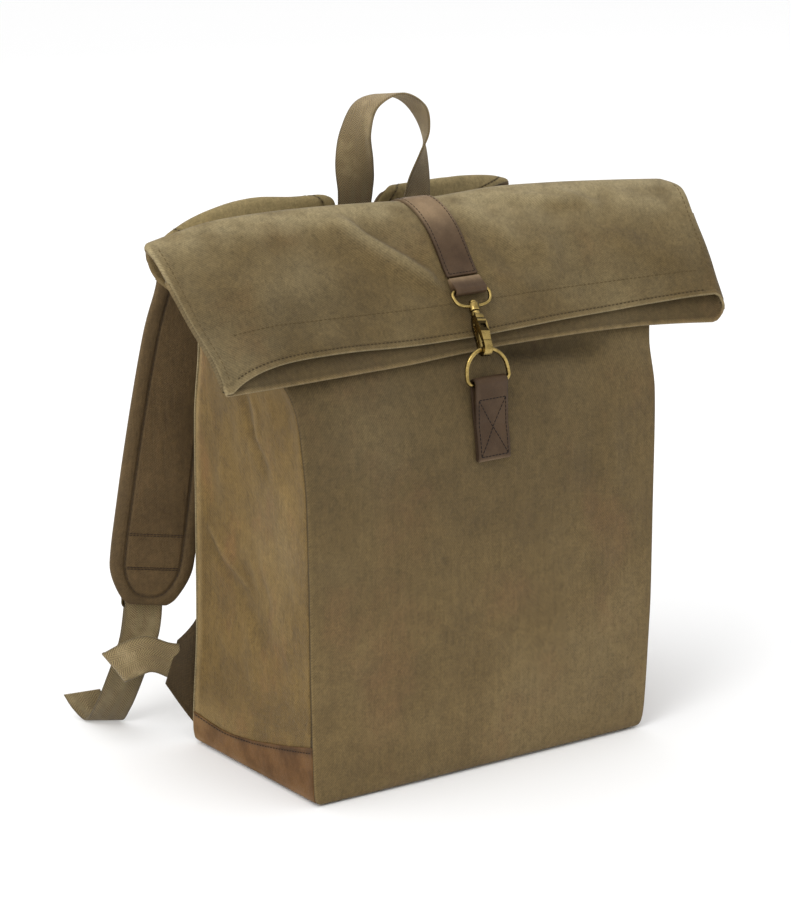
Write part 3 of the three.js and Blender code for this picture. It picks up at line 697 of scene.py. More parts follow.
clothSizes = {
    "thick": 1.8, "seamGap": 0.4, "wingGap": 1.6, "overhang": 1.0, "columns": 136, "bodyRoll": 2.2,
    "wingRoll": 9.5, "wingMeet": 0.494, "tail": 0.1, "footLean": 3.2, "shoulderLean": 4.4, "endCurve": 2.4,
}
rowPitch = {"plain": 3.1, "lip": 1.7, "foot": 1.5, "fold": 1.3}
rollAngles = np.radians([22.5, 45, 67.5, 90])
rollColumns = len(rollAngles) + 1
ridgeRow = 11


def panelPoints(rows, across, v):
    middle = catmull(columnsOf(rows, "half", "y", "z"), v)
    end = catmull(columnsOf(rows, "half", "endY", "endZ"), v)
    skew = valuesAlong(rows, ["skewY", "skewZ"], v)
    share = np.abs(across) ** clothSizes["endCurve"]
    y = middle[..., 1] + (end[..., 1] - middle[..., 1]) * share + across * skew[..., 0]
    z = middle[..., 2] + (end[..., 2] - middle[..., 2]) * share + across * share * skew[..., 1]
    # the right edge stands in at the foot and the shoulder
    lean = clothSizes["footLean"] * (1 - smooth(z, 10, 110))
    lean = lean + clothSizes["shoulderLean"] * band(v * lastRow, 5.2, 6.0, 6.1, 7.4)
    lean = lean * smooth(across, 0.2, 1)
    return np.stack([across * middle[..., 0] - lean, y, z], -1)


def panelNormals(rows, facing, across, v):
    step = 1e-3
    sideways = panelPoints(rows, across + step * facing, v) - panelPoints(rows, across - step * facing, v)
    upward = panelPoints(rows, across, np.minimum(v + step, 1))
    upward = upward - panelPoints(rows, across, np.maximum(v - step, 0))
    return unit(np.cross(sideways, upward))


def rowSamples(rows):
    # rows closer together at the foot, the fold and the lip
    fine = np.linspace(0, 1, 4001)
    line = panelPoints(rows, np.zeros_like(fine), fine)
    lengths = lengthsAlong(line)
    fromLip = lengths[-1] - lengths
    pitch = np.full_like(fine, rowPitch["plain"])
    pitch[fromLip < 48] = rowPitch["lip"]
    pitch[fine < 2.3 / lastRow] = rowPitch["foot"]
    pitch[(fine > 9.6 / lastRow) & (fine < 12.5 / lastRow)] = rowPitch["fold"]
    weight = np.concatenate([[0], np.cumsum(np.diff(lengths) / pitch[1:])])
    count = int(round(weight[-1]))
    v = np.interp(np.linspace(0, weight[-1], count + 1), weight, fine)
    return v, np.interp(v, fine, fromLip)


def panelGrid(rows, facing, others):
    # the outer face, with both side edges rolled in round the seam
    v, fromLip = rowSamples(rows)
    count = clothSizes["columns"]
    across = np.linspace(-1, 1, count + 1) * facing
    half = catmull(columnsOf(rows, "half", "y", "z"), v)[:, 0]
    wing = smooth(v * lastRow, 8.7, 9.8)
    rolls, turns = {}, {}
    for side in (-1, 1):
        ends = np.full_like(v, side)
        edge = panelPoints(rows, ends, v)
        facingEdge = panelPoints(others, ends, v)
        inward = -clothSizes["bodyRoll"] * panelNormals(rows, facing, ends, v)
        turn = (1 - wing)[:, None] * inward + wing[:, None] * clothSizes["wingMeet"] * (facingEdge - edge)
        turns[side] = turn
        rolls[side] = np.minimum(np.linalg.norm(turn, axis=1), clothSizes["wingRoll"])
    roll = np.where(across[None, :] > 0, rolls[1][:, None], rolls[-1][:, None])
    acrossGrid = across[None, :] * (1 - roll / half[:, None])
    vGrid = widen(v, count + 1)
    inner = panelPoints(rows, acrossGrid, vGrid)
    strips = {}
    for side in (-1, 1):
        column = -1 if side * facing > 0 else 0
        edge = inner[:, column]
        strip = []
        for angle in rollAngles:
            outward = np.zeros_like(edge)
            outward[:, 0] = side * rolls[side] * math.sin(angle)
            strip.append(edge + turns[side] * (1 - math.cos(angle)) + outward)
        tail = (clothSizes["tail"] * (1 - wing))[:, None]
        strip.append(strip[-1] + unit(turns[side]) * tail + 1e-3 * turns[side])
        strips[side] = np.stack(strip, 1)
    first, last = strips[-facing], strips[facing]
    points = np.concatenate([first[:, ::-1], inner, last], 1)
    x = np.concatenate([first[:, ::-1, 0], inner[:, :, 0], last[:, :, 0]], 1)
    s, rows01 = [widen(values, points.shape[1]) for values in (fromLip, v * lastRow)]
    inside = half[:, None] - np.abs(x)  # distance from the nearer side edge
    return points, x, s, rows01, inside


# creases of the flap over cloth width and distance from the lip
flapCreases = tableOf(
    "start stop width rise",
    ((-92, 110), (-14, 38), 7, 6.4),
    ((-72, 106), (-16, 56), 9, -5.6),
    ((-118, 100), (-50, 44), 13, -2.8),
    ((-165, 84), (-96, 44), 13, 2.2),
    ((-58, 56), (-24, 32), 7, -2.4),
    ((20, 110), (62, 66), 8, 2.8),
    ((26, 88), (54, 48), 9, -3.0),
    ((55, 112), (130, 96), 5, 2.6),
    ((60, 102), (120, 86), 7, -2.2),
    ((112, 112), (146, 90), 4.5, 2.4),
    ((86, 72), (80, 36), 7, 2.0),
    ((104, 70), (98, 34), 9, -1.8),
    ((132, 84), (184, 68), 8, -2.6),
    ((20, 52), (62, 28), 7, 2.4),
    ((150, 62), (206, 28), 12, 2.0),
    ((-204, 92), (-150, 30), 16, 1.8),
    ((160, 104), (214, 84), 8, 1.8),
)
# dents of the front over x and z
frontCreases = tableOf(
    "start stop width rise",
    ((14, 319), (126, 310), 11, -9.0),
    ((-110, 300), (-30, 296), 10, -2.5),
    ((112, 262), (126, 196), 11, 1.8),
    ((92, 240), (104, 176), 10, -1.5),
    ((-60, 200), (-30, 110), 20, 1.4),
    ((60, 120), (100, 40), 18, 1.5),
    ((-120, 90), (-60, 60), 18, -1.4),
    ((-148, 40), (-120, 12), 12, 1.4),
)
backCreases = tableOf(
    "start stop width rise",
    ((-90, 250), (-40, 180), 16, -2.0),
    ((90, 250), (50, 170), 16, -2.0),
    ((-60, 120), (70, 110), 18, 1.8),
    ((-100, 60), (-30, 50), 16, -1.6),
    ((20, 70), (110, 60), 16, -1.6),
)


def bodyMask(points, inside):
    # cloth keeps still at its seams and hems
    return smooth(points[..., 2], 2, 30) * smooth(inside, 3, 22)


# height of the ridge along its width, mm
ridgeRows = [
    (-240, 1), (-215, 4), (-183, 7), (-136, 6), (-79, 3), (-30, 0), (-8, -1.5), (20, -0.4), (65, 1.6),
    (110, 1), (160, 0.2), (237, 0.4),
]


def ridgeRise(x, rows01):
    return heightAlong(ridgeRows, x) * bell(rows01 - ridgeRow, 1.6)


def shapeTop(points, x, rows01):
    # the ridge bows up on the left, and its right corner is round
    ridge = bell(rows01 - ridgeRow, 0.8)
    right = 11.5 * ridge + 3 * band(rows01, 11, 12, 12.5, 14.5) - 2.2 * smooth(rows01, 14, 16)
    left = 2.6 * smooth(rows01, 10.2, 11.2) + 2.9 * smooth(rows01, 12, 14)
    points[..., 0] -= right * smooth(x, 120, 237) + left * smooth(-x, 120, 235)
    points[..., 2] += ridgeRise(x, rows01) - 2 * ridge * smooth(x, 228, 238)


def seamGapShade(rows01, share):
    # painted shade in the gap along each side seam, on the outer columns of the cloth
    dark = np.zeros_like(rows01)
    dark[:, [0, 1, -2, -1]] = share * (1 - smooth(rows01[:, [0, 1, -2, -1]], 8, 9))
    return dark


def wornRim(s, inside, rows01, first):
    # pale rims of the lip and of the flap's side edges
    lip = 0.66 * (1 - smooth(s, 0.4, 1.7)) * smooth(rows01, first, first + 0.4)
    edge = 0.5 * (1 - smooth(inside, 0.6, 3.2)) * smooth(rows01, 11, 11.6)
    return np.maximum(lip, edge)


def panelPiece(name, points, places, rubbed, seam, hemRow):
    # the hem is measured only on the rows near the lip
    x, s, rows01 = places
    hem = np.where(rows01 > hemRow, s * mm, 1.0)
    piece = gridPiece(name, points, clothOf(x, s, rubbed), hem=hem, seam=seam)
    thicken(piece, clothSizes["thick"])
    return piece


# rise of the lower and the upper lip along their width, mm
lowerLipRise = [(-226, 0), (-60, 0), (20, 2.5), (110, 2.5), (155, 2), (226, -1)]
upperLipRise = [
    (-226, -4), (-213, 2), (-200, 5.5), (-174, 8), (-110, 5.5), (-54, 2), (0, 1), (110, 4), (180, 5), (226, 4)
]


def makeFrontPanel():
    points, x, s, rows01, inside = panelGrid(frontRows, 1, backRows)
    reach = np.clip(1 - s / 40, 0, 1) ** 1.5 * smooth(rows01, 12.6, 13.2) * smooth(inside, 0, 9)
    points[..., 2] += reach * np.interp(x, *zip(*lowerLipRise))
    shapeTop(points, x, rows01)
    normals = gridNormals(points)
    body = 1 - smooth(rows01, 6.4, 7.6)
    under = smooth(rows01, 12.6, 13.4)
    dents = creaseField(frontCreases, x, points[..., 2]) * body
    waves = waveField(points, (0.9, 95, 3), (0.35, 34, 4)) * (body + 0.5 * under)
    tabClear = 1 - near(x + 1, 16, 34) * smooth(points[..., 2], 225, 245) * body
    shift = (dents + waves) * bodyMask(points, inside) * tabClear - 0.3 * under * smooth(s, 0, 30)
    points = points + normals * shift[..., None]
    # paler on the raised parts of the dents, a painted highlight, and along the worn rims
    rubbed = np.clip(dents / 8, 0, 0.3) + wornRim(s, inside, rows01, 13)
    # painted shade: darker up under the flap, in the dents and inside the lip, plus painted shade in the side
    # seams' gap
    paintedShade = 0.46 * smooth(points[..., 2], 80, 310) * body * (1 - 0.5 * smooth(x, 50, 150))
    paintedShade += np.clip(-dents / 30, 0, 0.3) + 0.56 * under * smooth(s, 0.8, 3)
    seam = np.maximum(seamGapShade(rows01, 0.8), paintedShade)
    piece = panelPiece("front_cloth", points, (x, s, rows01), rubbed, seam, 12.8)
    settle(piece, "bag", "canvas", frontCanvas, "front_panel")
    return points, gridNormals(points), s


def makeBackPanel():
    points, x, s, rows01, inside = panelGrid(backRows, -1, frontRows)
    reach = np.clip(1 - s / 62, 0, 1) ** 1.6 * smooth(rows01, 11.6, 12.2) * smooth(inside, 0, 9)
    points = points + (reach * heightAlong(upperLipRise, x))[..., None] * np.array([0, 0.5, 1.0])
    shapeTop(points, x, rows01)
    normals = gridNormals(points)
    body = 1 - smooth(rows01, 5.6, 7.2)
    flap = smooth(rows01, 11.2, 12.6)
    slope = band(rows01, 6.5, 8, 10, 11)
    flapFolds = creaseField(flapCreases, x, s) * flap
    backFolds = creaseField(backCreases, x, points[..., 2]) * body
    waves = waveField(points, (0.8, 80, 5), (0.45, 26, 6)) * (body + 0.8 * flap + 0.8 * slope)
    # the cloth lies plain under the strap, the handle's ends and the pads
    strapX = np.interp(rows01, [8, 14], [-12, -2])
    strapClear = 1 - near(x - strapX, 15, 25) * smooth(rows01, 7.4, 8.2) * (0.5 + 0.5 * smooth(s, 38, 46))
    handleClear = 1 - near(np.abs(x) - 30, 18, 28) * near(rows01 - 7.6, 0.4, 1.2)
    padClear = 1 - near(np.abs(x) - 48, 34, 50) * band(rows01, 5.2, 5.8, 7, 8)
    shift = (flapFolds + backFolds + waves) * bodyMask(points, inside) * strapClear * handleClear * padClear
    hemRise = 0.4 * flap * (1 - smooth(s, 5, 7))
    seamRise = 0.4 * flap * band(inside, 2, 4, 6, 8)
    lipWave = 1.2 * flap * (1 - smooth(s, 0, 60)) * np.sin(x / 31 + 0.6) * smooth(inside, 4, 40)
    shift += hemRise + seamRise + lipWave * strapClear
    points = points + normals * shift[..., None]
    # painted highlights on the crease ridges, along the ridge and on the rolled side edges, pale worn rims,
    # darker low on the flap
    right = smooth(x, -20, 60)
    streaks = points * np.array([0.4, 1.0, 1.0])
    ridgeHighlight = 0.76 + 0.12 * right + waveField(streaks, (0.17, 16, 31), (0.12, 40, 32))
    rubbed = np.clip(flapFolds / 14, 0, 0.3)
    rubbed += np.clip(ridgeHighlight, 0.25, 1.0) * bell(rows01 - 11.4, 1.0 + 0.4 * right)
    # painted highlight on the rolled side edges of the body
    edges = np.zeros_like(x)
    edges[:, np.r_[:rollColumns, -rollColumns:0]] = 0.9
    rubbed += edges * (1 - smooth(rows01, 7, 8.4)) + wornRim(s, inside, rows01, 12.4)
    rubbed += 0.26 * flap * bell(x + 40, 34) * bell(s - 78, 26)
    # painted shade in the side seams' gap, and darker low on the flap and towards its left
    seam = seamGapShade(rows01, 0.1) + 0.17 * flap * band(s, 2, 8, 30, 80) + 0.08 * flap * smooth(-x, 80, 140)
    piece = panelPiece("back_cloth", points, (x, s, rows01), rubbed, seam, 12)
    settle(piece, "bag", "canvas", backCanvas, "back_panel")
    return points, gridNormals(points), s


frontGrid = makeFrontPanel()
backGrid = makeBackPanel()
print("front and back cloth made")


# side cloth between the front and the back
sideCreases = tableOf(
    "start stop width rise",
    ((74, 180), (38, 156), 3.4, 2.3),
    ((44, 161), (4, 140), 3.8, 2.0),
    ((72, 168), (30, 142), 6, -2.4),
    ((4, 172), (-24, 128), 6, -1.7),
    ((20, 182), (-6, 150), 7, 1.3),
    ((24, 136), (-20, 108), 9, -1.5),
    ((10, 116), (0, 50), 10, 1.2),
    ((-20, 250), (-34, 150), 15, -1.4),
    ((40, 260), (60, 170), 13, 1.5),
    ((20, 320), (34, 230), 12, -1.8),
    ((-50, 110), (-62, 52), 12, 1.1),
    ((60, 90), (40, 48), 10, -1.1),
    ((-12, 300), (-15, 258), 4.5, 2.4),
    ((4, 300), (-2, 262), 5, -2.8),
    ((-2, 270), (-26, 236), 6, -2.2),
)
patchTop = [(0, 47), (0.25, 36), (0.5, 27), (0.75, 22.5), (1, 25)]
sideSizes = {"depth": 174.0, "rows": 140, "columns": 56, "rim": 6.4}
sideRim = np.array([0, 0.7, 1.4, 2.1, 2.8, 3.6, 4.8])
patchSizes = {"thick": 1.15, "lift": 1.2, "trim": 0.02, "rows": 24, "columns": 72}
sideRows = len(sideBelly)
sideShare = (sideRows - 1) / lastRow


def sidePoints(side, along, v):
    inset = clothSizes["thick"] + clothSizes["seamGap"] + clothSizes["wingGap"] * smooth(v, 0.6, 0.9)
    inset = inset[..., None]
    ends = np.full_like(v, side)
    height = v * sideShare
    front = panelPoints(frontRows, ends, height) - inset * panelNormals(frontRows, 1, ends, height)
    back = panelPoints(backRows, ends, height) - inset * panelNormals(backRows, -1, ends, height)
    belly = np.interp(v * (sideRows - 1), np.arange(sideRows), sideBelly)
    points = front + (back - front) * along[..., None]
    overhang = clothSizes["overhang"] + 2 * smooth(v, 0.66, 0.85)
    points[..., 0] += side * (belly * np.sin(np.pi * along) - overhang)
    return points


def makeSide(name, side):
    fine = np.linspace(0, 1, 1501)
    line = sidePoints(side, np.full_like(fine, 0.5), fine)
    lengths = lengthsAlong(line)
    v = np.interp(np.linspace(0, lengths[-1], sideSizes["rows"] + 1), lengths, fine)
    depth = sideSizes["depth"]
    rim, inner = sideRim / depth, sideSizes["rim"] / depth
    u = np.concatenate([rim, np.linspace(inner, 1 - inner, sideSizes["columns"] + 1), 1 - rim[::-1]])
    along = u if side > 0 else 1 - u
    alongGrid, vGrid = np.meshgrid(along, v)
    points = sidePoints(side, alongGrid, vGrid)
    normals = gridNormals(points)
    y, z = points[..., 1], points[..., 2]
    folds = creaseField(sideCreases, y, z)
    waves = waveField(points, (1.1, 70, 8), (0.4, 28, 9))
    ripple = 0.7 * np.sin(y / 9.5 + 0.02 * z) * smooth(z, 80, 200)
    still = band(alongGrid, 0, 0.12, 0.88, 1) * smooth(z, 48, 70) * (1 - smooth(vGrid, 0.86, 0.97))
    fromFront, fromBack = alongGrid * depth, (1 - alongGrid) * depth
    dip = -1.1 * bell(fromFront - 2.6, 1.9) * smooth(z, 48, 60)
    points = points + normals * ((folds + waves + ripple) * still + dip)[..., None]
    y, z = points[..., 1], points[..., 2]
    # painted highlight on the crease ridges and on the rolled edge at the back seam
    rubbed = np.clip(folds / 5, 0, 0.45) * still + 0.8 * (1 - smooth(fromBack, 1, 12))
    # painted shade in the front seam's gap and in the crease valleys
    dark = (1 - smooth(fromFront, 3.4, 4.5)) * smooth(z, 20, 30) * (1 - smooth(vGrid, 0.8, 0.9))
    dark = np.maximum(dark, np.clip(-folds / 10, 0, 0.22) * still)
    piece = gridPiece("side_cloth_" + name, points, clothOf(y, z, rubbed), seam=dark)
    thicken(piece, clothSizes["thick"], round=0)
    settle(piece, "bag", "side_canvas", sideCanvas, "gusset_" + name)


def makePatch(name, side):
    u = np.linspace(0, 1, patchSizes["columns"] + 1)
    along = u if side > 0 else 1 - u
    wanted = catmull(patchTop, along)[:, 1]
    low, high = np.zeros_like(along), np.ones_like(along)
    for _ in range(30):
        tried = (low + high) / 2
        under = sidePoints(side, along, tried)[:, 2] < wanted
        low, high = np.where(under, tried, low), np.where(under, high, tried)
    foot = 2 / (sideRows - 1)
    share = np.linspace(0, 1, patchSizes["rows"] + 1)[:, None]
    rise = np.where(share < 1 / 3, 3 * share * foot, foot + (low[None, :] - foot) * (1.5 * share - 0.5))
    alongGrid = np.repeat(along[None, :], len(share), 0)
    trim = patchSizes["trim"] * np.maximum(0, 1 - rise * (sideRows - 1) / 2)
    points = sidePoints(side, trim + (1 - 2 * trim) * alongGrid, rise)
    normals = gridNormals(points)
    points = points + normals * patchSizes["lift"]
    y, z = points[..., 1], points[..., 2]
    rubbed = 0.1 + 0.35 * bell(z - 3, 5) + 0.25 * alongGrid + 0.1 * softNoise(points, 50, 12)
    # darker along the top border, the sewn line with painted shade under its edge, and towards the front end
    seam = 0.55 * bell(share - 0.96, 0.05) + 0.3 * smooth(alongGrid, 0.08, 0.0)
    seam = np.clip(seam + 0.12 * softNoise(points, 34, 13), 0, 1)
    piece = gridPiece("corner_patch_" + name, points, clothOf(y, z, rubbed), seam=seam)
    thicken(piece, patchSizes["thick"], round=0.5)
    settle(piece, "bag", "patch", patchLeather, "side_patch_" + name)
    return points, normals


patchGrids = []
for sideName, side in sides:
    makeSide(sideName, side)
    patchGrids.append(makePatch(sideName, side))
print("side cloth and patches made")


# flat bottom
baseSizes = {"halfX": 137.0, "halfY": 79.2, "middle": -1.7, "thick": 2.0, "columns": 70, "rows": 40}


def makeBase():
    deselectAll()
    columns, rows = baseSizes["columns"], baseSizes["rows"]
    bpy.ops.mesh.primitive_grid_add(x_subdivisions=columns, y_subdivisions=rows, size=2 * mm)
    piece = bpy.context.active_object
    piece.name = "base_cloth"
    pick(piece)
    bpy.ops.object.mode_set(mode="EDIT")
    bpy.ops.mesh.select_all(action="SELECT")
    bpy.ops.transform.resize(value=(baseSizes["halfX"], baseSizes["halfY"], 1))
    bpy.ops.transform.translate(value=(baseSizes["middle"] * mm, 0, 0))
    bpy.ops.mesh.flip_normals()
    bpy.ops.object.mode_set(mode="OBJECT")
    setCloth(piece, coordsOf(piece) * np.array([1, 1, 0]))
    thicken(piece, baseSizes["thick"], round=0.6)
    settle(piece, "bag", "canvas", baseCanvas, "base_panel")


makeBase()


# thread: one small stitch, copied along each line
stitchSizes = {"long": 2.9, "pitch": 3.9, "thick": 0.62, "flat": 1.15, "look": 0.8}


def stitchShape():
    deselectAll()
    bpy.ops.mesh.primitive_uv_sphere_add(segments=6, ring_count=4, radius=0.5)
    shape = bpy.context.active_object
    vertices = np.array([v.co for v in shape.data.vertices])[:, [2, 0, 1]]
    faces = [[i for i in p.vertices] for p in shape.data.polygons]
    bpy.data.objects.remove(shape)
    return vertices, faces


stitchVertices, stitchFaces = stitchShape()


def pointAt(lengths, values, place):
    return np.array([np.interp(place, lengths, values[:, k]) for k in range(3)])


def makeStitches(name, lines, material, slot, lift=0.1, **sizes):
    # lines hold points and normals in mm
    long, pitch, thick, flat, look = {**stitchSizes, **sizes}.values()
    vertices, faces = [], []
    for points, normals in lines:
        lengths = lengthsAlong(points)
        count = max(1, int(lengths[-1] / pitch))
        places = (np.arange(count) + 0.5) * lengths[-1] / count
        for place in places:
            before, here, after = [pointAt(lengths, points, place + step) for step in (-look, 0, look)]
            along = unit(after - before)
            normal = unit(pointAt(lengths, normals, place))
            cross = unit(np.cross(normal, along))
            shape = stitchVertices[:, :1] * long * along + stitchVertices[:, 1:2] * thick * flat * cross
            shape = shape + stitchVertices[:, 2:] * thick * normal + here + normal * lift
            start = len(vertices) * len(stitchVertices)
            vertices.append(shape)
            faces += [[i + start for i in face] for face in stitchFaces]
    piece = meshPiece(name, np.concatenate(vertices), [], faces)
    piece.data.polygons.foreach_set("use_smooth", [True] * len(faces))
    settle(piece, "bag", slot, material)


def gridLine(grid, columns, rows):
    return sampleGrid(grid[:2], np.asarray(columns, float), np.asarray(rows, float))


def crossBox(grid, corners, count):
    # a sewn box and its diagonals between four corners, columns then rows
    lines = []
    for a, b in ((0, 1), (1, 2), (2, 3), (3, 0), (0, 2), (1, 3)):
        columns, rows = np.linspace(corners[a], corners[b], count).T
        lines.append(gridLine(grid, columns, rows))
    return lines


def rowAt(s, wanted):
    # fractional row where the distance from the lip is as wanted
    return np.interp(-wanted, -s[:, 0], np.arange(len(s)))


def hemLine(grid, leftGap, rightGap, first=8, last=8):
    # a row of thread at a distance from the lip, from the left end to the right
    points, _, s = grid
    columns = np.linspace(first, points.shape[1] - 1 - last, 200)
    x = gridLine(grid, columns, np.full_like(columns, len(s) - 2))[0][:, 0]
    return gridLine(grid, columns, rowAt(s, np.interp(x, [-225, 225], [leftGap, rightGap])))


def edgeLine(grid, column, low, high):
    rows = np.linspace(rowAt(grid[2], high), rowAt(grid[2], low), 80)
    return gridLine(grid, np.full_like(rows, column), rows)


hemSizes = {"line": 4.6, "bandLeft": 31, "bandRight": 24, "edgeColumn": 6.1, "edgeLow": 7, "edgeHigh": 108}
patchRow = 22.6

flapHem, lipHem = [hemLine(grid, hemSizes["line"], hemSizes["line"]) for grid in (backGrid, frontGrid)]
flapBand = hemLine(backGrid, hemSizes["bandLeft"], hemSizes["bandRight"], 9, 12)
lastColumn = backGrid[0].shape[1] - 1
edgeColumns = (hemSizes["edgeColumn"], lastColumn - hemSizes["edgeColumn"])
flapEdges = [edgeLine(backGrid, column, hemSizes["edgeLow"], hemSizes["edgeHigh"]) for column in edgeColumns]
makeStitches("flap_stitches", [flapHem], canvasThread, "canvas", long=2.5, pitch=3.5, thick=0.74)
makeStitches("flap_band_stitches", [flapBand], paleThread, "canvas")
makeStitches("lip_stitches", [lipHem], paleThread, "canvas")
makeStitches("flap_edge_stitches", flapEdges, paleThread, "canvas", lift=0.0)
patchColumns = np.linspace(1, patchSizes["columns"] - 1, 120)
patchLines = [gridLine(grid, patchColumns, np.full_like(patchColumns, patchRow)) for grid in patchGrids]
makeStitches("patch_stitches", patchLines, leatherThread, "patch")
print("stitches made")


# straps of cloth and leather: a grid along a line, with its width across
def ribbonGrid(centres, crosses, widths, columns):
    shares = np.linspace(-0.5, 0.5, columns + 1)
    return centres[:, None] + crosses[:, None] * (shares[None, :, None] * np.asarray(widths)[:, None, None])


def evenly(points, pitch):
    # the same curve with even steps, and each step's place in 0 to 1
    fine = np.linspace(0, 1, 3001)
    line = catmull(points, fine)
    lengths = lengthsAlong(line)
    count = max(4, int(round(lengths[-1] / pitch)))
    at = np.interp(np.linspace(0, lengths[-1], count + 1), lengths, fine)
    return at, np.linspace(0, lengths[-1], count + 1)


leatherSizes = {
    "width": 28.0, "strapGap": 0.35, "strapThick": 2.4, "topLayerEnd": 14.0, "columns": 16, "crown": 0.25,
    "thread": (1.35, 14.65), "loopWire": 1.9, "loopOuter": 3.5, "loopHalf": 1.35, "loopTrim": 0.4,
}
loopBar = np.array([0.0, -64.5, 364.5])
ringBar = np.array([-1.0, -90.0, 300.0])
pullAngle, hangAngle = math.radians(36), math.radians(8)
straight = np.array([0, -math.sin(pullAngle), -math.cos(pullAngle)])
outward = np.array([0, -math.cos(pullAngle), math.sin(pullAngle)])
pull = math.cos(hangAngle) * straight - np.array([math.sin(hangAngle), 0, 0])
sideways = np.cross(outward, pull)


def lifted(rows, facing, v, height):
    zero = np.zeros_like(v)
    return panelPoints(rows, zero, v) + panelNormals(rows, facing, zero, v) * height


def strapLine():
    v = np.linspace(8 / lastRow + 0.02, 13 / lastRow + 0.035, 12)
    points = lifted(backRows, -1, v, leatherSizes["strapGap"] + leatherSizes["strapThick"] / 2)
    points[:, 0] = np.interp(np.linspace(0, 1, 12), [0, 0.5, 0.82, 1], [-15, -8, -0.4, 0.4])
    points[:, 2] += ridgeRise(points[:, 0], v * lastRow)
    return np.concatenate([points, loopBar[None]])


def leatherStrip(name, points, width, thick, rubbed, nodes=()):
    # a strip along points in mm, its width along X
    tangents = unit(np.gradient(points, axis=0))
    crosses = np.tile([1.0, 0, 0], (len(points), 1))
    columns = leatherSizes["columns"]
    grid = ribbonGrid(points, crosses, np.full(len(points), width), columns)
    if np.cross(crosses[0], tangents[0]) @ np.array([0, -1, 1]) < 0:
        grid = grid[:, ::-1]
    normals = gridNormals(grid)
    x = np.repeat(np.linspace(-width / 2, width / 2, columns + 1)[None, :], len(points), 0)
    crown = leatherSizes["crown"] * (1 - (2 * x / width) ** 2)
    grid = grid + normals * (thick / 2 + crown - leatherSizes["crown"])[..., None]
    lengths = lengthsAlong(points)
    s, leatherWearAndHighlight = [widen(values, columns + 1) for values in (lengths, rubbed(lengths))]
    edge = 0.5 * smooth(np.abs(x), width / 2 - 2.2, width / 2)
    piece = gridPiece(name, grid, clothOf(x, s, leatherWearAndHighlight), seam=edge)
    thicken(piece, thick, round=0.7)
    settle(piece, "bag", "leather", strapLeather, *nodes)
    return grid, normals, lengths


def teardropLoop(name, bar, wire, outer, joint, halfThick, width):
    # a folded strip round a bar, its two layers meeting at the joint
    back = joint - bar
    back[0] = 0
    reach = np.linalg.norm(back)
    along = -back / reach
    up = np.array([0, along[2], -along[1]])
    if up @ np.array([0, -1, 0.3]) < 0:
        up = -up
    turn = math.acos(max(-1, min(1, (outer - halfThick) / reach)))
    angles = np.linspace(math.pi - turn, -(math.pi - turn), 25)
    arc = [bar + outer * (math.cos(a) * along + math.sin(a) * up) for a in angles]
    high, low = joint + up * halfThick, joint - up * halfThick
    outline = arc + [arc[-1] + (low - arc[-1]) * t for t in (0.25, 0.5, 0.75, 1)]
    outline += [high + (arc[0] - high) * t for t in (0, 0.25, 0.5, 0.75)]
    count = len(outline)
    spare = np.linspace(-(math.pi - turn), -(math.pi + turn), count - len(angles) + 2)[1:-1]
    holes = [bar + wire * (math.cos(a) * along + math.sin(a) * up) for a in [*angles, *spare]]
    for point in outline + holes:
        point[0] = bar[0] - width / 2
    edges = [(k + i, k + (i + 1) % count) for k in (0, count) for i in range(count)]
    piece = meshPiece(name, outline + holes, edges, [])
    extrude(piece, (width, 0, 0), bridge=True)
    roundRims(piece, 0.5, 2, 50, 40)
    cloth = coordsOf(piece)
    away = np.linalg.norm(cloth[:, 1:] / mm - joint[1:], axis=1)
    # painted highlight on the bulge where the fold leaves the stitches
    cloth[:, 2] = 0.1 + 0.56 * bell(away, 5.5)  # pale where the fold leaves the stitches
    setCloth(piece, cloth)
    settle(piece, "bag", "leather", strapLeather)


def makeClosingStrap():
    line = strapLine()
    at, lengths = evenly(line, 1.6)
    points = catmull(line, at)
    stop = int(np.searchsorted(lengths, lengths[-1] - leatherSizes["topLayerEnd"]))
    ridge = lengths[np.argmax(points[:, 2])]

    def rubbed(s):
        return 0.68 * bell(s - ridge - 12, 27)

    grid, normals, _ = leatherStrip(
        "closing_strap_leather", points[:stop + 1], leatherSizes["width"], leatherSizes["strapThick"], rubbed,
        ("closing_strap",),
    )
    joint = points[stop + 1].copy()
    wire, outer, half, trim = [leatherSizes[key] for key in ("loopWire", "loopOuter", "loopHalf", "loopTrim")]
    teardropLoop("closing_strap_loop", loopBar, wire, outer, joint, half, leatherSizes["width"] - trim)
    rows = np.arange(1, stop)
    lines = [gridLine((grid, normals), np.full(len(rows), c), rows) for c in leatherSizes["thread"]]
    columns = np.linspace(*leatherSizes["thread"], 30)
    lines += [gridLine((grid, normals), columns, np.full(30, r)) for r in (stop - 1.2, 1.5)]
    makeStitches("strap_stitches", lines, leatherThread, "leather", lift=0.05, long=2.5, pitch=2.9, thick=0.56)


tabSizes = {
    "thick": 2.2, "wider": 1.6, "foldRadius": 3.5, "boxLow": 3.4, "boxHigh": 46.0, "boxColumns": (1.4, 14.6)
}


